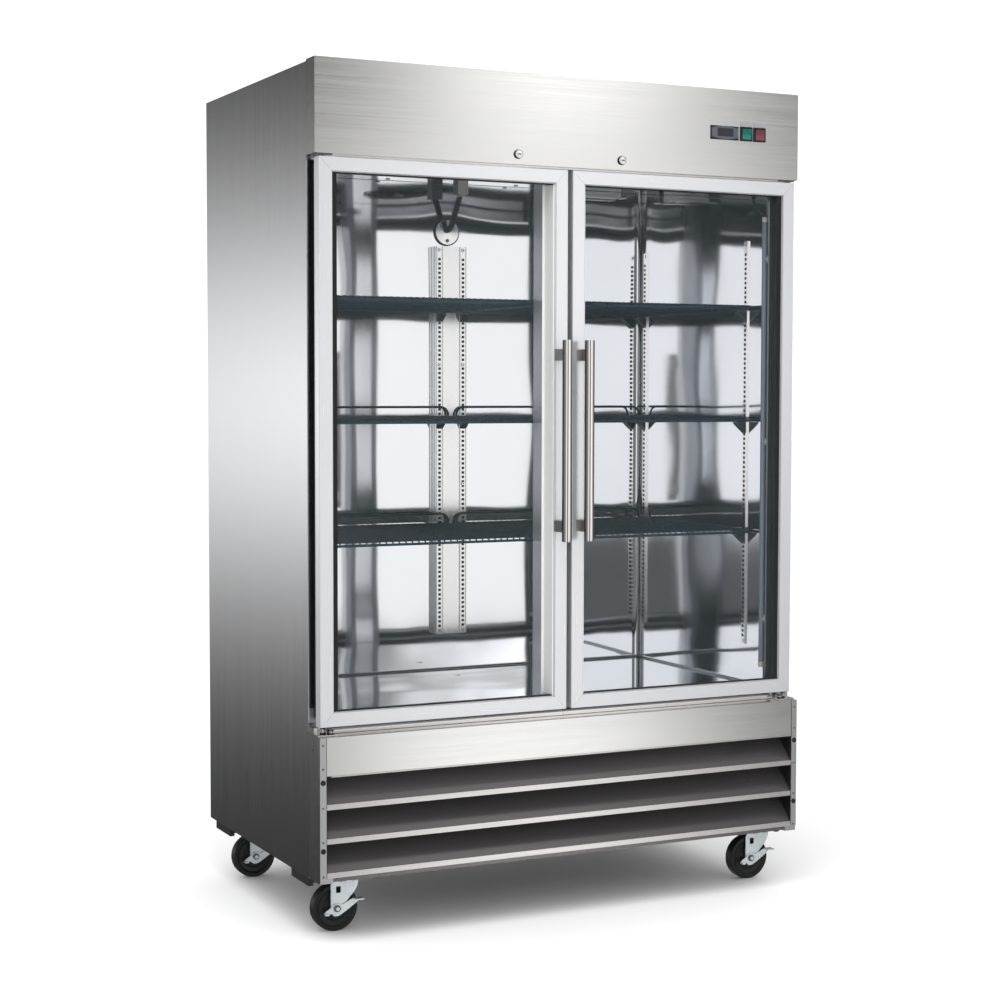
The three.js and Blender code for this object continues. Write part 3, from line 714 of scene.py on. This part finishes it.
def shelves():
    """Epoxy-coated wire shelves: close wires on cross rods, in a rod frame."""
    for level, z in SHELVES.items():
        for side, s in SIDES.items():
            shelf = Build()
            a, b = sorted((s * 8.0, s * 620.0))
            frame_r, wire_r = 3.4, 2.0
            f, r = SHELF_FRONT + frame_r, SHELF_BACK - frame_r
            for y in (f, r):
                shelf.tube([(a + 1, y, z + 4), (b - 1, y, z + 4)], frame_r, 10)
            for x in (a + frame_r, b - frame_r):
                shelf.tube([(x, f, z + 4), (x, r, z + 4)], frame_r, 10)
            for k in range(1, 6):
                y = f + (r - f) * k / 6
                shelf.tube([(a + 1, y, z + 5), (b - 1, y, z + 5)], 2.8)
            wires = int((b - a - 10) / WIRE_PITCH)
            for k in range(wires + 1):
                x = a + 5 + (b - a - 10) * k / wires
                shelf.tube([(x, SHELF_FRONT + 0.6, z + 4), (x, SHELF_FRONT + 1.6, z + 9.5),
                            (x, SHELF_FRONT + 5, z + 11.4), (x, r, z + 11.4),
                            (x, r + 1, z + 11.4)], wire_r, 6)
            # The upstand along the back edge, with rounded ends.
            top, turn = z + 37.6, 22.0
            rail = [(a + 5, r, z + 8), (a + 5, r, top - turn)]
            rail += [(x, r, h) for x, h in arc(a + 5 + turn, top - turn, turn, 180, 90, 6)[1:]]
            rail += [(x, r, h) for x, h in arc(b - 5 - turn, top - turn, turn, 90, 0, 6)]
            rail += [(b - 5, r, z + 8)]
            shelf.tube(rail, 3.2)
            shelf.done(f"{side}_{level}_wire_shelf", "cabinet", epoxy,
                       [f"{side}_{level}_shelf"])
            clips(side, s, level, z)


def clips(side, s, level, z):
    """Bent black clips hooked into the racks under the shelf corners, with thin chrome rods along their
    edges as painted highlights.
    """
    clip = Build()
    reach, drop, edge = 31.0, 31.0, 1.0
    wall = s * (INNER - 6.4)
    tip = wall - s * reach
    for y in RACK_Y.values():
        y0, y1 = y - 8, y + 8
        clip.prism([(wall, z - 0.6), (tip, z - 0.6), (tip, z - 4), (wall, z - drop)],
                   "y", y0, y1, 0.7)
        # Chrome rods along the top and slanted edges: painted highlights.
        for yy in (y0, y1):
            clip.tube([(tip, yy, z - 4), (wall, yy, z - drop)], edge, 6, 1)
        clip.tube([(tip, y0, z - 0.9), (wall, y0, z - 0.9)], edge, 6, 1)
    x, front = s * 36.7, 714.0
    clip.prism([(front, z - 0.6), (front - 22, z - 0.6), (front - 22, z - 5), (front, z - 24)],
               "x", x - 10, x + 10, 0.7)
    clip.tube([(x - 10, front - 22, z - 0.8), (x + 10, front - 22, z - 0.8)], edge, 6, 1)
    clip.done(f"{side}_{level}_clips", "cabinet", [black_plastic, chrome])


def lamp():
    """Strip lamp in the right jamb with its end caps, clips and black lead."""
    x, y = 626.0, 64.5
    tube = Build(x, y)
    tube.lathe([(0, 602), (6.2, 602), (6.6, 604), (6.6, 1788), (6.2, 1790), (0, 1790)],
               ORIGIN, "z", 20)
    for z0, z1 in ((588, 602), (1789, 1802)):
        tube.lathe([(0, z0), (6.2, z0), (7, z0 + 1.5), (7, z1 - 1.5), (6.2, z1), (0, z1)],
                   ORIGIN, "z", 20, 1)
    for z in (720, 1200, 1690):
        tube.box(5, INNER - 0.5 - x, -4, 4, z - 9, z + 9, 1.0, 2, 1)
        tube.disc(3, -6, z, 3.2, -1.4, "y", 1)
    tube.box(1.0, 2.8, -6.8, -5.2, 604, 1787, 0.4, 1, 2)
    tube.done("right_lamp_tube", "cabinet",
              [lamp_plastic, grey_fitting, bezel_plastic], ["right_lamp"])
    # The lead leaves a plug in the ceiling and curves down to the lamp's top end.
    lead = Build(599, 78)
    lead.tube([(1, 0, 1900), (0, 0, 1862), (0, 0, 1846), (3, -2, 1834), (10, -6, 1822),
               (19, -10, 1812), (25, -12.5, 1806), (27, -13.5, 1798)], 3.1, 10)
    lead.lathe([(0, 1924.6), (9.5, 1924.6), (9.5, 1868), (8, 1864), (4.4, 1850), (0, 1850)],
               ORIGIN, "z", 18)
    lead.rod(11, 1886, 1880, sides=18)
    lead.done("right_lamp_lead", "cabinet", black_plastic)


def drain_fitting():
    """Round plate on the back wall, whose hose climbs to a cup under the ceiling."""
    y = LINER_BACK - 2.6
    plate = Build(PLATE_X, y, PLATE_Z)
    # A flat black ring round the plate's edge: painted shade.
    plate.lathe([(0, 0), (38.5, 0), (38.5, -2.4), (36.9, -2.4), (36.9, 0.4), (0, 0.4)],
                ORIGIN, "y", 48, 2)
    plate.lathe([(0, 0), (36.8, 0), (36.8, -2.2), (35, -3.4), (12, -4.0), (0, -4.0)],
                ORIGIN, "y", 48)
    for angle in map(math.radians, (48, 132, 270)):
        plate.disc(25 * math.cos(angle), -3.6, 24 * math.sin(angle), 5.2, -2.4, "y", 1)
    plate.done("drain_plate", "cabinet", [column_steel, rivet_steel, hole_shade_black])
    # The hose leaves the plate, bends upward and comes forward.
    cup_x, cup_y = 1.0, 654.0
    hose = Build(PLATE_X, y, PLATE_Z)
    bend, end = Vector((3, -28, 20)), Vector((cup_x - PLATE_X, cup_y - y, 104))
    hose.tube([(0, -2, 6), (0, -12, 6), (1, -20, 10), bend]
              + [bend.lerp(end, t) for t in (0.25, 0.5, 0.75, 1.0)], 8.2, 16)
    hose.done("drain_hose", "cabinet", black_rubber)
    cup = Build(cup_x, cup_y)
    cup.box(-16, 16, -16, 16, 1885, CEILING - 0.4, 2.5, 3)
    cup.lathe([(0, 1880), (11, 1880), (12, 1886), (0, 1886)], ORIGIN, "z", 20)
    cup.disc(16, 0, 1902, 2.6, 5, "x", 1)
    cup.done("drain_cup", "cabinet", [grey_fitting, black_plastic])
    bracket = Build()
    bracket.box(398, 560, 690, 728, 1903, 1906)
    bracket.box(398, 560, 725, 728, 1903, 1924)
    for x in (420, 538):
        bracket.disc(x, 708, 1903, 5, -2, "z", 1)
    bracket.done("ceiling_bracket", "cabinet", [plain_steel, chrome])


# ------------------------------------------------------------------ header and controls
HEADER_BOTTOM, HEADER_TOP = 1897.0, 2122.6
LOCK_X, LOCK_Z = 147.5, 1921.5
CONTROL_X, CONTROL_Z = 455.0, 2009.6
SWITCHES = {"green": 522.0, "red": 563.5}
SWITCH_Z = 2010.0


def header():
    shell = Build()
    shell.box(-HALF, HALF, 0, BODY_FRONT - 0.6, HEADER_BOTTOM, HEADER_TOP, 2.6, 3)
    shell.done("header_box", "cabinet", front_steel, ["header"])
    trims = Build()
    trims.box(CONTROL_X - 43.5, CONTROL_X + 43.5, -0.5, 0.4, CONTROL_Z - 18, CONTROL_Z + 18, 0.3)
    for x in SWITCHES.values():
        mitred(trims, x - 18.4, x + 18.4, SWITCH_Z - 18.5, SWITCH_Z + 18.5,
               [(0, 0.5), (0, -3.0), (0.8, -3.8), (2.6, -3.8), (3.4, -3.0), (3.4, 0.5)])
        trims.box(x - 15.4, x + 15.4, -0.4, 0.5, SWITCH_Z - 15.4, SWITCH_Z + 15.4, 0.1, 1)
        # A plain clear tab over each switch, where a label would sit.
        trims.box(x - 17, x + 17, -1.6, 0.2, SWITCH_Z + 20.5, SWITCH_Z + 31.5, 0.5, 2, 1)
    trims.done("switch_frames", "cabinet", [black_plastic, tab_plastic])
    lip = Build()
    lip.box(-HALF + 12, HALF - 12, 14, BODY_FRONT - 0.8, HEADER_BOTTOM - 4.6,
            HEADER_BOTTOM - 0.3, 1.6, 3)
    lip.done("header_return", "cabinet", lip_steel)
    for side, s in SIDES.items():
        plate = Build()
        plate.box(s * (HALF - 8), s * (HALF - 46), 3, 48, HEADER_BOTTOM - 3.6, HEADER_BOTTOM - 0.2)
        plate.rod(6, 1887.6, 1893, (s * HINGE_X, HINGE_Y, 0), sides=16)
        plate.done(f"{side}_top_hinge", "cabinet", rivet_steel)


def controls():
    control = Build(CONTROL_X, 0, CONTROL_Z)
    outline = arc(0, -130, 147, 74, 106, 12) + arc(0, 130, 147, 254, 286, 12)
    control.prism(outline, "y", -5, -0.2, 1.2, 3)
    control.box(-24, 24, -5.6, -3, -9.5, 11.5, 0.8, 2, 1)
    for x in (29, 34.5):
        control.box(x - 1.4, x + 1.4, -5.7, -4, -11, 11, 0.6)
    control.box(-36, 36, -1, 45, -13.5, 13.5)
    control.done("controller_face", "cabinet",
                 [bezel_plastic, window_plastic], ["controller"])
    for colour, x in SWITCHES.items():
        rocker = Build(x, 0, SWITCH_Z)
        profile = [(7, -12.2), (-2, -14.2), (-6.4, -13.8), (-5.6, -6), (-4.8, 0), (-5.6, 6),
                   (-6.4, 13.8), (-2, 14.2), (7, 12.2)]
        rocker.prism(profile, "x", -13.6, 13.6, 0.8)
        rocker.turn(math.radians(8), "X")
        rocker.done(f"{colour}_rocker", f"{colour}_switch",
                    green_lens if colour == "green" else red_lens, [f"{colour}_switch"])


def locks():
    for side, s in SIDES.items():
        lock = Build(s * LOCK_X, 0, LOCK_Z)
        lock.rod(9, 24, -0.4, ORIGIN, "y", 32)
        # The collar's outer ring in dark metal: painted shadow round the chrome collar.
        lock.lathe([(9, -0.3), (12, -0.3), (11.6, -2.0), (10.8, -5.6), (9, -5.6)],
                   ORIGIN, "y", 32, 2)
        lock.lathe([(0, -1), (10.9, -1), (10.9, -5.8), (10.2, -6.4), (8.4, -6.4), (8.1, -5.6),
                    (7.7, -5.6), (7.5, -6.2), (0, -6.3)], ORIGIN, "y", 32)
        lock.box(-6, 19, 21, 24, -6, 6)
        # The key slot as a flat black piece: painted shade.
        lock.box(-4.4, 4.4, -6.6, -6.0, -1.2, 1.2, 0.2, 1, 1)
        lock.done(f"{side}_lock_barrel", f"{side}_lock", [chrome, hole_shade_black, lock_ring_painted_shadow],
                  [f"{side}_lock"])


# ------------------------------------------------------------------ base
BASE_FRONT = -21.5
BASE_BOTTOM, BASE_TOP = 164.0, 505.4
POST = 16.5
LOUVERS = {1: 330.0, 2: 247.0, 3: 164.0}
PLUGS = (397.0, 231.0)


def rivet(build, x, y, z, radius=2.6, mat=1):
    build.disc(x, y, z, radius, -1.0, "y", mat, 0.6, 12)


def corner_posts():
    for side, s in SIDES.items():
        post = Build()
        post.box(s * HALF, s * (HALF - POST), BASE_FRONT, BODY_FRONT - 0.5, BASE_BOTTOM,
                 BASE_TOP, 1.8, 3)
        middle = s * (HALF - POST / 2)
        for z in PLUGS:
            post.lathe([(0, 0.4), (6.6, 0.4), (6.6, -1.0), (5.2, -2.0), (2.2, -2.0),
                        (1.6, -1.2), (0, -1.2)], (middle, BASE_FRONT, z), "y", 24, 2)
        for z in (487, 430, 335, 252, 169):
            rivet(post, middle, BASE_FRONT + 0.1, z)
        # The gap between the post and the panels beside it, as a black strip: painted shadow.
        post.box(s * (HALF - POST), s * (HALF - POST - 1.3), BASE_FRONT + 0.6,
                 BODY_FRONT - 0.5, BASE_BOTTOM, BASE_TOP - 4, 0.1, 1, 2)
        outside = s * HALF
        for z in (470, 330, 200):
            post.disc(outside - s * 0.1, 26, z, 2.6, s * 0.8, "x", 1, 0.6, 12)
        post.done(f"{side}_corner_post", "cabinet",
                  [post_steel, rivet_steel, black_plastic], [f"{side}_post"])


def kick_and_louvers():
    edge = HALF - POST - 1.5
    kick = Build()
    kick.prism([(BASE_FRONT + 0.4, 412), (-8, 412), (-8, 414), (BASE_FRONT + 2.4, 414),
                (BASE_FRONT + 2.4, 503), (55.8, 503), (55.8, BASE_TOP - 0.2),
                (BASE_FRONT + 0.4, BASE_TOP - 0.2)], "x", -edge, edge, 0.7)
    kick.box(-edge + 12, edge, BASE_FRONT + 1.0, BASE_FRONT + 3.2, 408.4, 411.2, 0.4, 1, 1)
    kick.done("kick_plate", "cabinet", [front_steel, lip_steel], ["kick_panel"])
    for index, z in LOUVERS.items():
        blade = Build()
        lip = 13
        face = BASE_FRONT
        # The sloping blade in the darkened steel, its lip in bright steel: painted shade under the
        # lips.
        blade.prism([(face + 2, z + lip - 2), (36, z + 68), (36, z + 70), (face + 2, z + lip)],
                    "x", -edge, edge, 0.0, 1)
        blade.prism([(face, z), (face + 2.6, z), (face + 2.6, z + lip), (face, z + lip)],
                    "x", -edge, edge, 0.8, 2, 1)
        blade.done(f"louver_blade_{index}", "cabinet",
                   [blade_steel_painted_shade, lip_steel], [f"louver_{index}"])


def skirt_and_sill():
    skirt = Build()
    # The skirt in the darkened steel: painted shade under the cabinet.
    skirt.box(-HALF + 1, HALF - 1, -12, 54, 152.5, 163.4)
    for s in (-1, 1):
        skirt.box(s * (HALF - 0.5), s * (HALF - 34), BASE_FRONT + 2, 55, 151.2, 163.6, 1.0, 2, 1)
    skirt.done("base_skirt", "cabinet", [blade_steel_painted_shade, post_steel])
    sill = Build()
    profile = [(55.6, 506), (30, 506), (30, 512)]
    profile += arc(40, 512, 10, 180, 90)[1:]
    profile += [(55.6, 522)]
    for x0, x1 in ((-INNER + 0.4, -0.4), (0.4, INNER - 0.4)):
        sill.prism(profile, "x", x0, x1)
    sill.done("door_sill", "cabinet", lip_steel, ["front_sill"])


def lower_hinges():
    for side, s in SIDES.items():
        bracket = Build()
        bracket.box(s * (HALF - 0.4), s * (HALF - 50), -8, 54, 505.8, 509.4, 1.2)
        bracket.box(s * (HALF - 1), s * (HALF - 10), 22, 55, 509, 523, 4.0, 4)
        for x, y, top in ((HINGE_X, HINGE_Y, 525.4), (HINGE_X - 16, HINGE_Y - 12, 521)):
            bracket.rod(5.2, 509, top, (s * x, y, 0), "z", 20, 1)
            # Flat black rings where the pins pass through: painted shade.
            for r, low, high in ((7.6, 509, 511.6), (7, top - 4, top - 1.6)):
                bracket.lathe([(5.4, low), (r, low), (r, high), (5.4, high)],
                              (s * x, y, 0), "z", 20, 2)
        bracket.done(f"{side}_hinge_bracket", "cabinet",
                     [lip_steel, chrome, hole_shade_black], [f"{side}_hinge"])


def base():
    corner_posts()
    kick_and_louvers()
    skirt_and_sill()
    lower_hinges()
    repaint("base_frame", black_enamel)


# ------------------------------------------------------------------ doors
DOOR_LOW, DOOR_HIGH = 526.0, 1890.0
MEETING = 6.7
OUTER = 676.0
STILE, RAIL = 36.0, 34.6


def door_frame(side, s, body):
    x0, x1 = sorted((s * MEETING, s * OUTER))
    rim = Build()
    profile = [(0.0, 1.6), (0.5, 0.5), (1.6, 0.0), (33.2, 0.0), (34.4, 0.5), (35.0, 1.6),
               (35.0, 5.6), (36.0, 6.0), (36.0, 30.4), (34.4, 32.0), (1.6, 32.0),
               (0.0, 30.4)]
    mitred(rim, x0, x1, DOOR_LOW, DOOR_HIGH, profile, 0, 1)
    # Inner cover strips on the back: dark, and pale along the foot.
    for za, zb, mat in ((DOOR_LOW + 1.4, DOOR_LOW + 36.6, 1),
                        (DOOR_HIGH - 36.6, DOOR_HIGH - 1.4, 2)):
        rim.box(x0 + 1.4, x1 - 1.4, 31.4, 32.4, za, zb, 0.2, 1, mat)
    for xa in (x0 + 1.4, x1 - 36.6):
        rim.box(xa, xa + 35.2, 31.3, 32.3, DOOR_LOW + 36.6, DOOR_HIGH - 36.6, 0.2, 1, 2)
    # White return that lines the opening beside the meeting edge.
    rim.box(s * (MEETING + 36.2), s * (MEETING + 38.0), 20.2, 55.6, DOOR_LOW + 37,
            DOOR_HIGH - 37, 0.3, 1, 3)
    rim.done(f"{side}_door_rim", body,
             [aluminium, aluminium_across, black_plastic, white_strip],
             [f"{side}_door_frame"], angle=20)
    seal = Build()
    bellows = [(14, 32.4), (29, 32.4), (29, 36), (27.4, 38.4), (29, 41.4), (29, 44.4),
               (27.4, 47), (29, 50), (29, 54.4), (27.6, 55.9), (15.4, 55.9), (14, 54.4),
               (14, 50), (15.6, 47), (14, 44.4), (14, 41.4), (15.6, 38.4), (14, 36)]
    mitred(seal, x0, x1, DOOR_LOW, DOOR_HIGH, bellows, gap=0.0)
    seal.done(f"{side}_door_seal", body, black_rubber, [f"{side}_door_gasket"])


def glazing(side, s, body):
    # Glazing channel: wide and black on the hinge side, white beside the meeting edge.
    bead = Build()
    low, high = DOOR_LOW + RAIL + 1.7, DOOR_HIGH - RAIL - 1.7
    meet, hinge_edge = s * (MEETING + STILE + 0.3), s * (OUTER - STILE - 0.3)
    bead.box(hinge_edge, hinge_edge - s * 11.4, 6.2, 19.8, low, high, 0.6)
    bead.box(meet, meet + s * 2.2, 6.2, 19.8, low, high, 0.4, 2, 1)
    left, right = sorted((meet + s * 2.2, hinge_edge - s * 11.4))
    for z0, z1 in ((low, low + 2.4), (high - 2.4, high)):
        bead.box(left, right, 6.2, 19.8, z0, z1, 0.4)
    bead.done(f"{side}_glazing_bead", body, [black_rubber, white_strip])
    pane = Build()
    pane.box(left + 0.2, right - 0.2, 6.6, 19.4, low + 2.6, high - 2.6)
    pane.done(f"{side}_door_pane", body, glass, [f"{side}_door_glass"])


def handle(side, s, body):
    grip = Build()
    x = s * (MEETING + 25)
    low, high = 957.0, 1463.0
    grip.lathe([(0, low), (11.0, low), (12.5, low + 1.5), (12.5, high - 1.5), (11.0, high),
                (0, high)], (x, -45, 0), "z", 40)
    for end in (-1, 1):
        z = 1210.5 + end * 215.5
        grip.box(x - 12.6, x + 12.6, -42, -0.2, z - 14.2, z + 14.2, 0.9, 2, 1)
    grip.done(f"{side}_pull", body, [handle_steel, standoff_steel],
              [f"{side}_door_handle"], angle=28)


def doors():
    for side, s in SIDES.items():
        for part in (door_frame, glazing, handle):
            part(side, s, f"{side}_door")


# ------------------------------------------------------------------ casters
CASTER_X = {"left": -569.0, "right": 646.0}
CASTER_Y = {"front": 110.0, "rear": 715.0}
LEG_IN, LEG_OUT = 18.0, 21.0
AXLE = 59.0
TRAIL = -32.0


def smooth_outline(points, rounds=2):
    """Cuts an outline's corners again and again, so a pressed plate's edge runs in curves."""
    for _ in range(rounds):
        cut = []
        for (ax, az), (bx, bz) in zip(points, points[1:] + points[:1]):
            cut += [(ax * 0.75 + bx * 0.25, az * 0.75 + bz * 0.25),
                    (ax * 0.25 + bx * 0.75, az * 0.25 + bz * 0.75)]
        points = cut
    return points


def caster_fork(name, x, y):
    leg = smooth_outline([(-47, 129), (-10, 129), (26, 129), (25, 112), (14, 94), (-6, 74),
                          (-20, 52), (-32, 44), (-44, 50), (-47, 62), (-47, 95)])
    window = [(-33, 97), (-21, 97), (-21, 113), (-33, 113)]
    axle = (TRAIL, 0, AXLE)
    fork = Build(x, y)
    for s in (-1, 1):
        fork.plate(leg, [window], "y", s * (LEG_OUT + LEG_IN) / 2, LEG_OUT - LEG_IN, 0.5)
    fork.box(-24, 26, -LEG_OUT, LEG_OUT, 124, 128.8, 1.4)
    for rib in (-16, -6, 4, 14):
        fork.box(rib - 1.6, rib + 1.6, -LEG_OUT - 1.2, -LEG_IN, 108, 126)
    fork.lathe([(0, 128.6), (17, 128.6), (22, 126), (22, 124), (0, 124)], ORIGIN, "z", 28)
    fork.lathe([(0, -31), (4.6, -31), (5, -30), (5, 26), (4.6, 27), (0, 27)], axle, "y", 16)
    fork.lathe([(0, -29.6), (8.4, -29.6), (9, -29), (9, -25), (0, -25)], axle, "y", 6, 1)
    fork.lathe([(0, 21.2), (9, 21.2), (9, 26), (8.4, 27), (0, 27)], axle, "y", 6, 1)
    fork.done(f"{name}_caster_fork", f"{name}_caster", [zinc, rivet_steel],
              [f"{name}_fork"])


def caster_wheel(name, x, y):
    half = [(6, 17), (14, 17), (16, 15), (19, 11), (30, 10.4), (32, 11.6), (34, 10.4),
            (43, 10.8), (46, 12), (49, 15), (55.6, 15), (58.2, 13.6), (59, 10.6)]
    wheel = Build(x + TRAIL, y, AXLE)
    wheel.lathe([(r, -h) for r, h in half] + half[::-1] + [(6, -17)], ORIGIN, "y", 48)
    wheel.done(f"{name}_caster_wheel", f"{name}_wheel", wheel_rubber,
               [f"{name}_wheel"])


def caster_brake(name, x, y):
    """The lever on the fork's outer side, with a ribbed foot pad and a release tab."""
    lever = smooth_outline([(-34, -8), (-30, -14), (-14, -12), (-8, -20), (4, -20), (22, -10),
                            (58, 14), (60, 22), (46, 24), (14, 8), (8, 12), (-8, 12),
                            (-14, 4)], 1)
    brake = Build(x + TRAIL, y - LEG_OUT, AXLE)
    brake.plate(lever, [circle(0, 0, 6)], "y", -1.8, 2.6, 0.5)
    brake.box(42, 64, -23, -0.6, 20, 23, 1.0)
    for rib in (46, 52, 58):
        brake.box(rib, rib + 2.4, -21, -5, 22.6, 23.8, 0.5, 1)
    brake.box(-34, -24, -15, -0.6, -13, -10, 0.9)
    brake.done(f"{name}_caster_brake", f"{name}_brake", zinc, [f"{name}_brake_lever"])


def casters():
    for end, y in CASTER_Y.items():
        for side, x in CASTER_X.items():
            for part in (caster_fork, caster_wheel, caster_brake):
                part(f"{end}_{side}", x, y)


# ------------------------------------------------------------------ machinery
def machinery():
    repaint("compressor", compressor_black)
    for coil in ("condenser", "evaporator_coil"):
        repaint(coil, fins)
    for fan in ("condenser_fan", "evaporator_fan"):
        repaint(fan, black_plastic)


# ------------------------------------------------------------------ studio
def world_light():
    """White to the eye and to matt surfaces; mirror-like steel sees soft boxes instead."""
    world = bpy.data.worlds.new("studio")
    bpy.context.scene.world = world
    world.use_nodes = True
    world.cycles.sampling_method = "NONE"
    n = Nodes(world.node_tree)
    background = world.node_tree.nodes["Background"]
    azimuth, rise = n.compass(n.new("ShaderNodeTexCoord").outputs["Generated"])
    height = n.times(n.math("ARCSINE", rise), DEGREES)

    def span(value, middle, half, soft):
        """1 within half of the middle, and 0 beyond a soft edge."""
        low, high = middle - half, middle + half
        return n.times(n.step(value, low - soft, low + soft),
                       n.step(value, high - soft, high + soft, 1, 0))

    def soft_box(az, half_az, soft_az, el, half_el, soft_el):
        return n.times(span(azimuth, az, half_az, soft_az), span(height, el, half_el, soft_el))

    def plus(value, box, amount):
        return n.math("MULTIPLY_ADD", box, amount, value)

    def fade(factor, a, b):
        mix = n.new("ShaderNodeMix", data_type="FLOAT")
        for socket, value in zip((mix.inputs[0], mix.inputs[2], mix.inputs[3]), (factor, a, b)):
            n.put(value, socket)
        return mix.outputs[0]

    # A dim room with a paler ceiling.
    room = plus(n.ramp(height, 10, 64, 0.13, 0.46), n.bell(height, 0, 9), 0.03)
    # Soft boxes ahead, one above the other: the kick panel, the liner and the header.
    room = plus(room, soft_box(27.0, 5.0, 3.4, -13.5, 5.5, 1.2), 1.08)
    room = plus(room, soft_box(27.0, 7.4, 1.2, -0.5, 6.7, 1.0), 0.93)
    room = plus(room, soft_box(28.0, 3.5, 3.6, 12.4, 5.4, 0.8), 1.38)
    # A tall one that the right-hand liner shows, and narrow ones round the room.
    room = plus(room, soft_box(-31.0, 9.0, 3.0, -0.5, 13.0, 4.0), 0.88)
    for az, half, soft, amount in ((48, 3, 4, 0.40), (-52, 3, 4, 0.30), (90, 4, 5, 0.50),
                                   (-90, 4, 5, 0.50), (134, 8, 8, 0.55), (-130, 7, 7, 0.50),
                                   (170, 8, 8, 0.5)):
        room = plus(room, soft_box(az, half, soft, 0.0, 34.0, 14.0), amount)
    # Low dark flags that the foot of the right-hand liner mirrors.
    for flag, amount in ((soft_box(32.8, 2.8, 0.4, -5.8, 2.2, 0.9), 0.10),
                         (soft_box(-31.0, 8.0, 3.0, -6.0, 2.0, 0.9), 0.08)):
        room = n.times(room, n.step(flag, 0, 1, 1, amount))
    # The slot of light along the horizon that the left side shows, dark above and below.
    slot = n.times(n.bell(height, -0.3, 4.0), n.ramp(azimuth, -166, -157, 0.66, 1.10))
    room = fade(soft_box(-161.0, 13.0, 5.0, 0.0, 40.0, 20.0), room, n.math("ADD", slot, 0.03))
    # Overhead strip that shades the louver blades from their middle to their ends.
    room = fade(soft_box(61.0, 20.0, 6.0, 59.0, 12.0, 6.0), room,
                n.math("MULTIPLY_ADD", n.bell(height, 60.0, 3.0), 0.62, 0.05))
    ray = n.new("ShaderNodeLightPath")
    seen = n.mix_colour(ray.outputs["Is Glossy Ray"], (1.17, 1.17, 1.17, 1), room)
    n.link(seen, background.inputs["Color"])


def top_light():
    """A large overhead light that mirror-like steel doesn't see."""
    data = bpy.data.lights.new("top_light", "AREA")
    data.shape, data.size, data.energy = "SQUARE", 3.5, 120
    light = bpy.data.objects.new("top_light", data)
    bpy.context.scene.collection.objects.link(light)
    light.location = (-1.2, -1.6, 5.0)
    aim = Vector((0, 0, 0.6)) - light.location
    light.rotation_euler = aim.to_track_quat("-Z", "Y").to_euler()
    light.visible_glossy = False


def stage_floor():
    mesh = bpy.data.meshes.new("studio_floor")
    reach = 40.0
    corners = [(-reach, -reach, 0), (reach, -reach, 0), (reach, reach, 0), (-reach, reach, 0)]
    mesh.from_pydata(corners, [], [(0, 1, 2, 3)])
    floor = bpy.data.objects.new("studio_floor", mesh)
    bpy.context.scene.collection.objects.link(floor)
    mesh.materials.append(surface("studio_paper", (0.95, 0.95, 0.95), 0.9, 0.8, spread=0.005, bump=0.0))
    floor.visible_glossy = False


cabinet_outside()
cabinet_inside()
racks()
mullion()
shelves()
lamp()
drain_fitting()
header()
controls()
locks()
base()
doors()
casters()
machinery()
world_light()
top_light()
stage_floor()
bpy.context.scene.view_settings.view_transform = "Standard"
